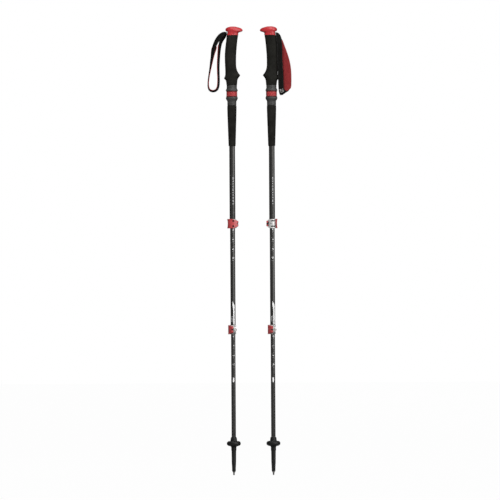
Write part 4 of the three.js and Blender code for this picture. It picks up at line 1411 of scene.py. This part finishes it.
# ------------------------------------------------------------------ both poles
# pieces that keep their CAD shape
KEPT = {
    "grip_core": "black_plastic", "strap_anchor_pin": "steel",
    "strap_lock_wedge": "black_plastic", "spring_seat": "black_plastic",
    "mid_guide_bush": "black_plastic", "lower_guide_bush": "black_plastic",
}
for side in SIDES:
    make_grip(side)
    make_tubes(side)
    make_lock(side, "upper", UPPER_R, 0.0, "upper_section")
    make_lock(side, "lower", MID_R, MID_TURN[side], "mid_section")
    make_foot(side)
    make_strap(side)
    for node, mat in KEPT.items():
        paint(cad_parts[f"{side}_{node}"], mat)
# any other visible piece without a node material
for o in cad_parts.values():
    if not o.hide_render and (not o.data.materials or not o.data.materials[0].use_nodes):
        paint(o, "black_plastic")

# ------------------------------------------------------------------ stage
# the sections slide down by up to 0.2 m, so the floor lies below the longest pose
FLOOR_Z, FLOOR_SIZE, FLOOR_CELLS, FLOOR_FRONT = -0.215, 16.0, 24, -3.0
# brightness the object reflects: degrees from -Y (0) towards +X (90), level
STUDIO = [
    (-180, 0.9), (-168, 0.85), (-154, 0.08), (-110, 0.05), (-70, 0.1), (-35, 0.2), (0, 0.24),
    (30, 0.3), (42, 1.7), (68, 1.7), (80, 0.08), (100, 0.02), (150, 0.02), (168, 0.85),
    (180, 0.9),
]
SENSOR, CAMERA_DISTANCE, VIEW_WIDTH = 36.0, 10.0, 1.33785   # mm, m, m at the poles


def floor_material():
    """nearly white to the camera, dull grey to everything else"""
    material = bpy.data.materials.new("pale_floor")
    material.use_nodes = True
    g = Graph(material.node_tree)
    lit = g.tree.nodes["Principled BSDF"]
    g.feed(lit.inputs["Base Color"], (0.9, 0.9, 0.9))
    g.feed(lit.inputs["Roughness"], 0.9)
    glow = g.node("ShaderNodeEmission", {"Color": (1, 1, 1), "Strength": 1.0})
    noise = g.node("ShaderNodeTexNoise", {"Scale": 3.0}).outputs["Fac"]
    glow_share = g.remap(noise, span=(0.3, 0.7), to=(0.975, 0.985))
    pale = g.blend(glow_share, lit.outputs[0], glow.outputs[0])
    dull = g.node("ShaderNodeBsdfDiffuse", {"Color": (0.22, 0.22, 0.22)})
    seen = g.blend(g.camera_ray(), dull.outputs[0], pale)
    g.feed_output = g.tree.nodes["Material Output"]
    g.feed(g.feed_output.inputs["Surface"], seen)
    return material


def make_floor():
    n = FLOOR_CELLS
    verts = [(ROW_X + (i / n - 0.5) * FLOOR_SIZE, FLOOR_FRONT + (j / n) * FLOOR_SIZE, FLOOR_Z)
             for i in range(n + 1) for j in range(n + 1)]
    faces = []
    for i in range(n):
        for j in range(n):
            a = i * (n + 1) + j
            faces.append([a, a + n + 1, a + n + 2, a + 1])
    floor = add_object("floor", build_mesh("floor", verts, faces))
    floor.data.materials.append(floor_material())


def make_world():
    """plain white to the camera, a soft studio in reflections"""
    world = bpy.data.worlds.new("studio")
    scene.world = world
    world.use_nodes = True
    g = Graph(world.node_tree)
    g.tree.nodes.clear()
    out = g.node("ShaderNodeOutputWorld")
    direction = g.split(g.node("ShaderNodeTexCoord").outputs["Generated"])
    towards = g.calc("MULTIPLY", direction["Y"], -1.0)
    bearing = g.calc("ARCTAN2", direction["X"], towards)
    ramp = g.node("ShaderNodeValToRGB", {"Fac": g.remap(bearing, span=(-math.pi, math.pi))})
    stops = ramp.color_ramp.elements
    for stop, (_, level) in zip(stops, (STUDIO[0], STUDIO[-1])):
        stop.color = (level, level, level, 1)
    for angle, level in STUDIO[1:-1]:
        stops.new((angle + 180) / 360).color = (level, level, level, 1)
    soft = g.node("ShaderNodeBackground", {"Color": ramp.outputs["Color"], "Strength": 1.0})
    white = g.node("ShaderNodeBackground", {"Color": (1, 1, 1), "Strength": 1.0})
    seen = g.blend(g.camera_ray(), soft.outputs[0], white.outputs[0])
    g.feed(out.inputs["Surface"], seen)


def area(name, location, target, size, energy):
    light = bpy.data.lights.new(name, "AREA")
    light.shape = "RECTANGLE"
    light.size, light.size_y = size
    light.energy = energy
    o = add_object(name, light)
    o.location = location
    aim = Vector(target) - Vector(location)
    o.rotation_euler = aim.to_track_quat("-Z", "Y").to_euler()
    return o


def make_lights():
    key = area("key_front", location=(-0.35, -3.7, 2.5), target=(ROW_X, 0, 0.62),
               size=(1.6, 1.4), energy=112)
    key.visible_glossy = False
    area("spark_right", location=(1.5, -2.6, 2.1), target=(ROW_X, 0, 0.8),
         size=(0.5, 0.5), energy=9)
    area("top", location=(ROW_X, -0.9, 3.2), target=(ROW_X, 0, 0.9),
         size=(1.4, 1.0), energy=14)


def make_camera():
    """looks along +Y, rolled slightly"""
    data = bpy.data.cameras.new("camera")
    data.type = "PERSP"
    data.sensor_width = SENSOR
    data.lens = SENSOR * CAMERA_DISTANCE / VIEW_WIDTH
    data.clip_end = 100.0
    camera = add_object("camera", data)
    camera.matrix_world = (
        Matrix.Translation((ROW_X - 0.00674, -CAMERA_DISTANCE, 0.6024))
        @ Matrix.Rotation(math.radians(0.328), 4, "Y") @ Matrix.Rotation(math.pi / 2, 4, "X"))
    scene.camera = camera


scene.view_settings.view_transform = "Standard"
scene.view_settings.look = "None"
scene.view_settings.exposure = 0.0
scene.view_settings.gamma = 1.0
make_floor()
make_world()
make_lights()
make_camera()
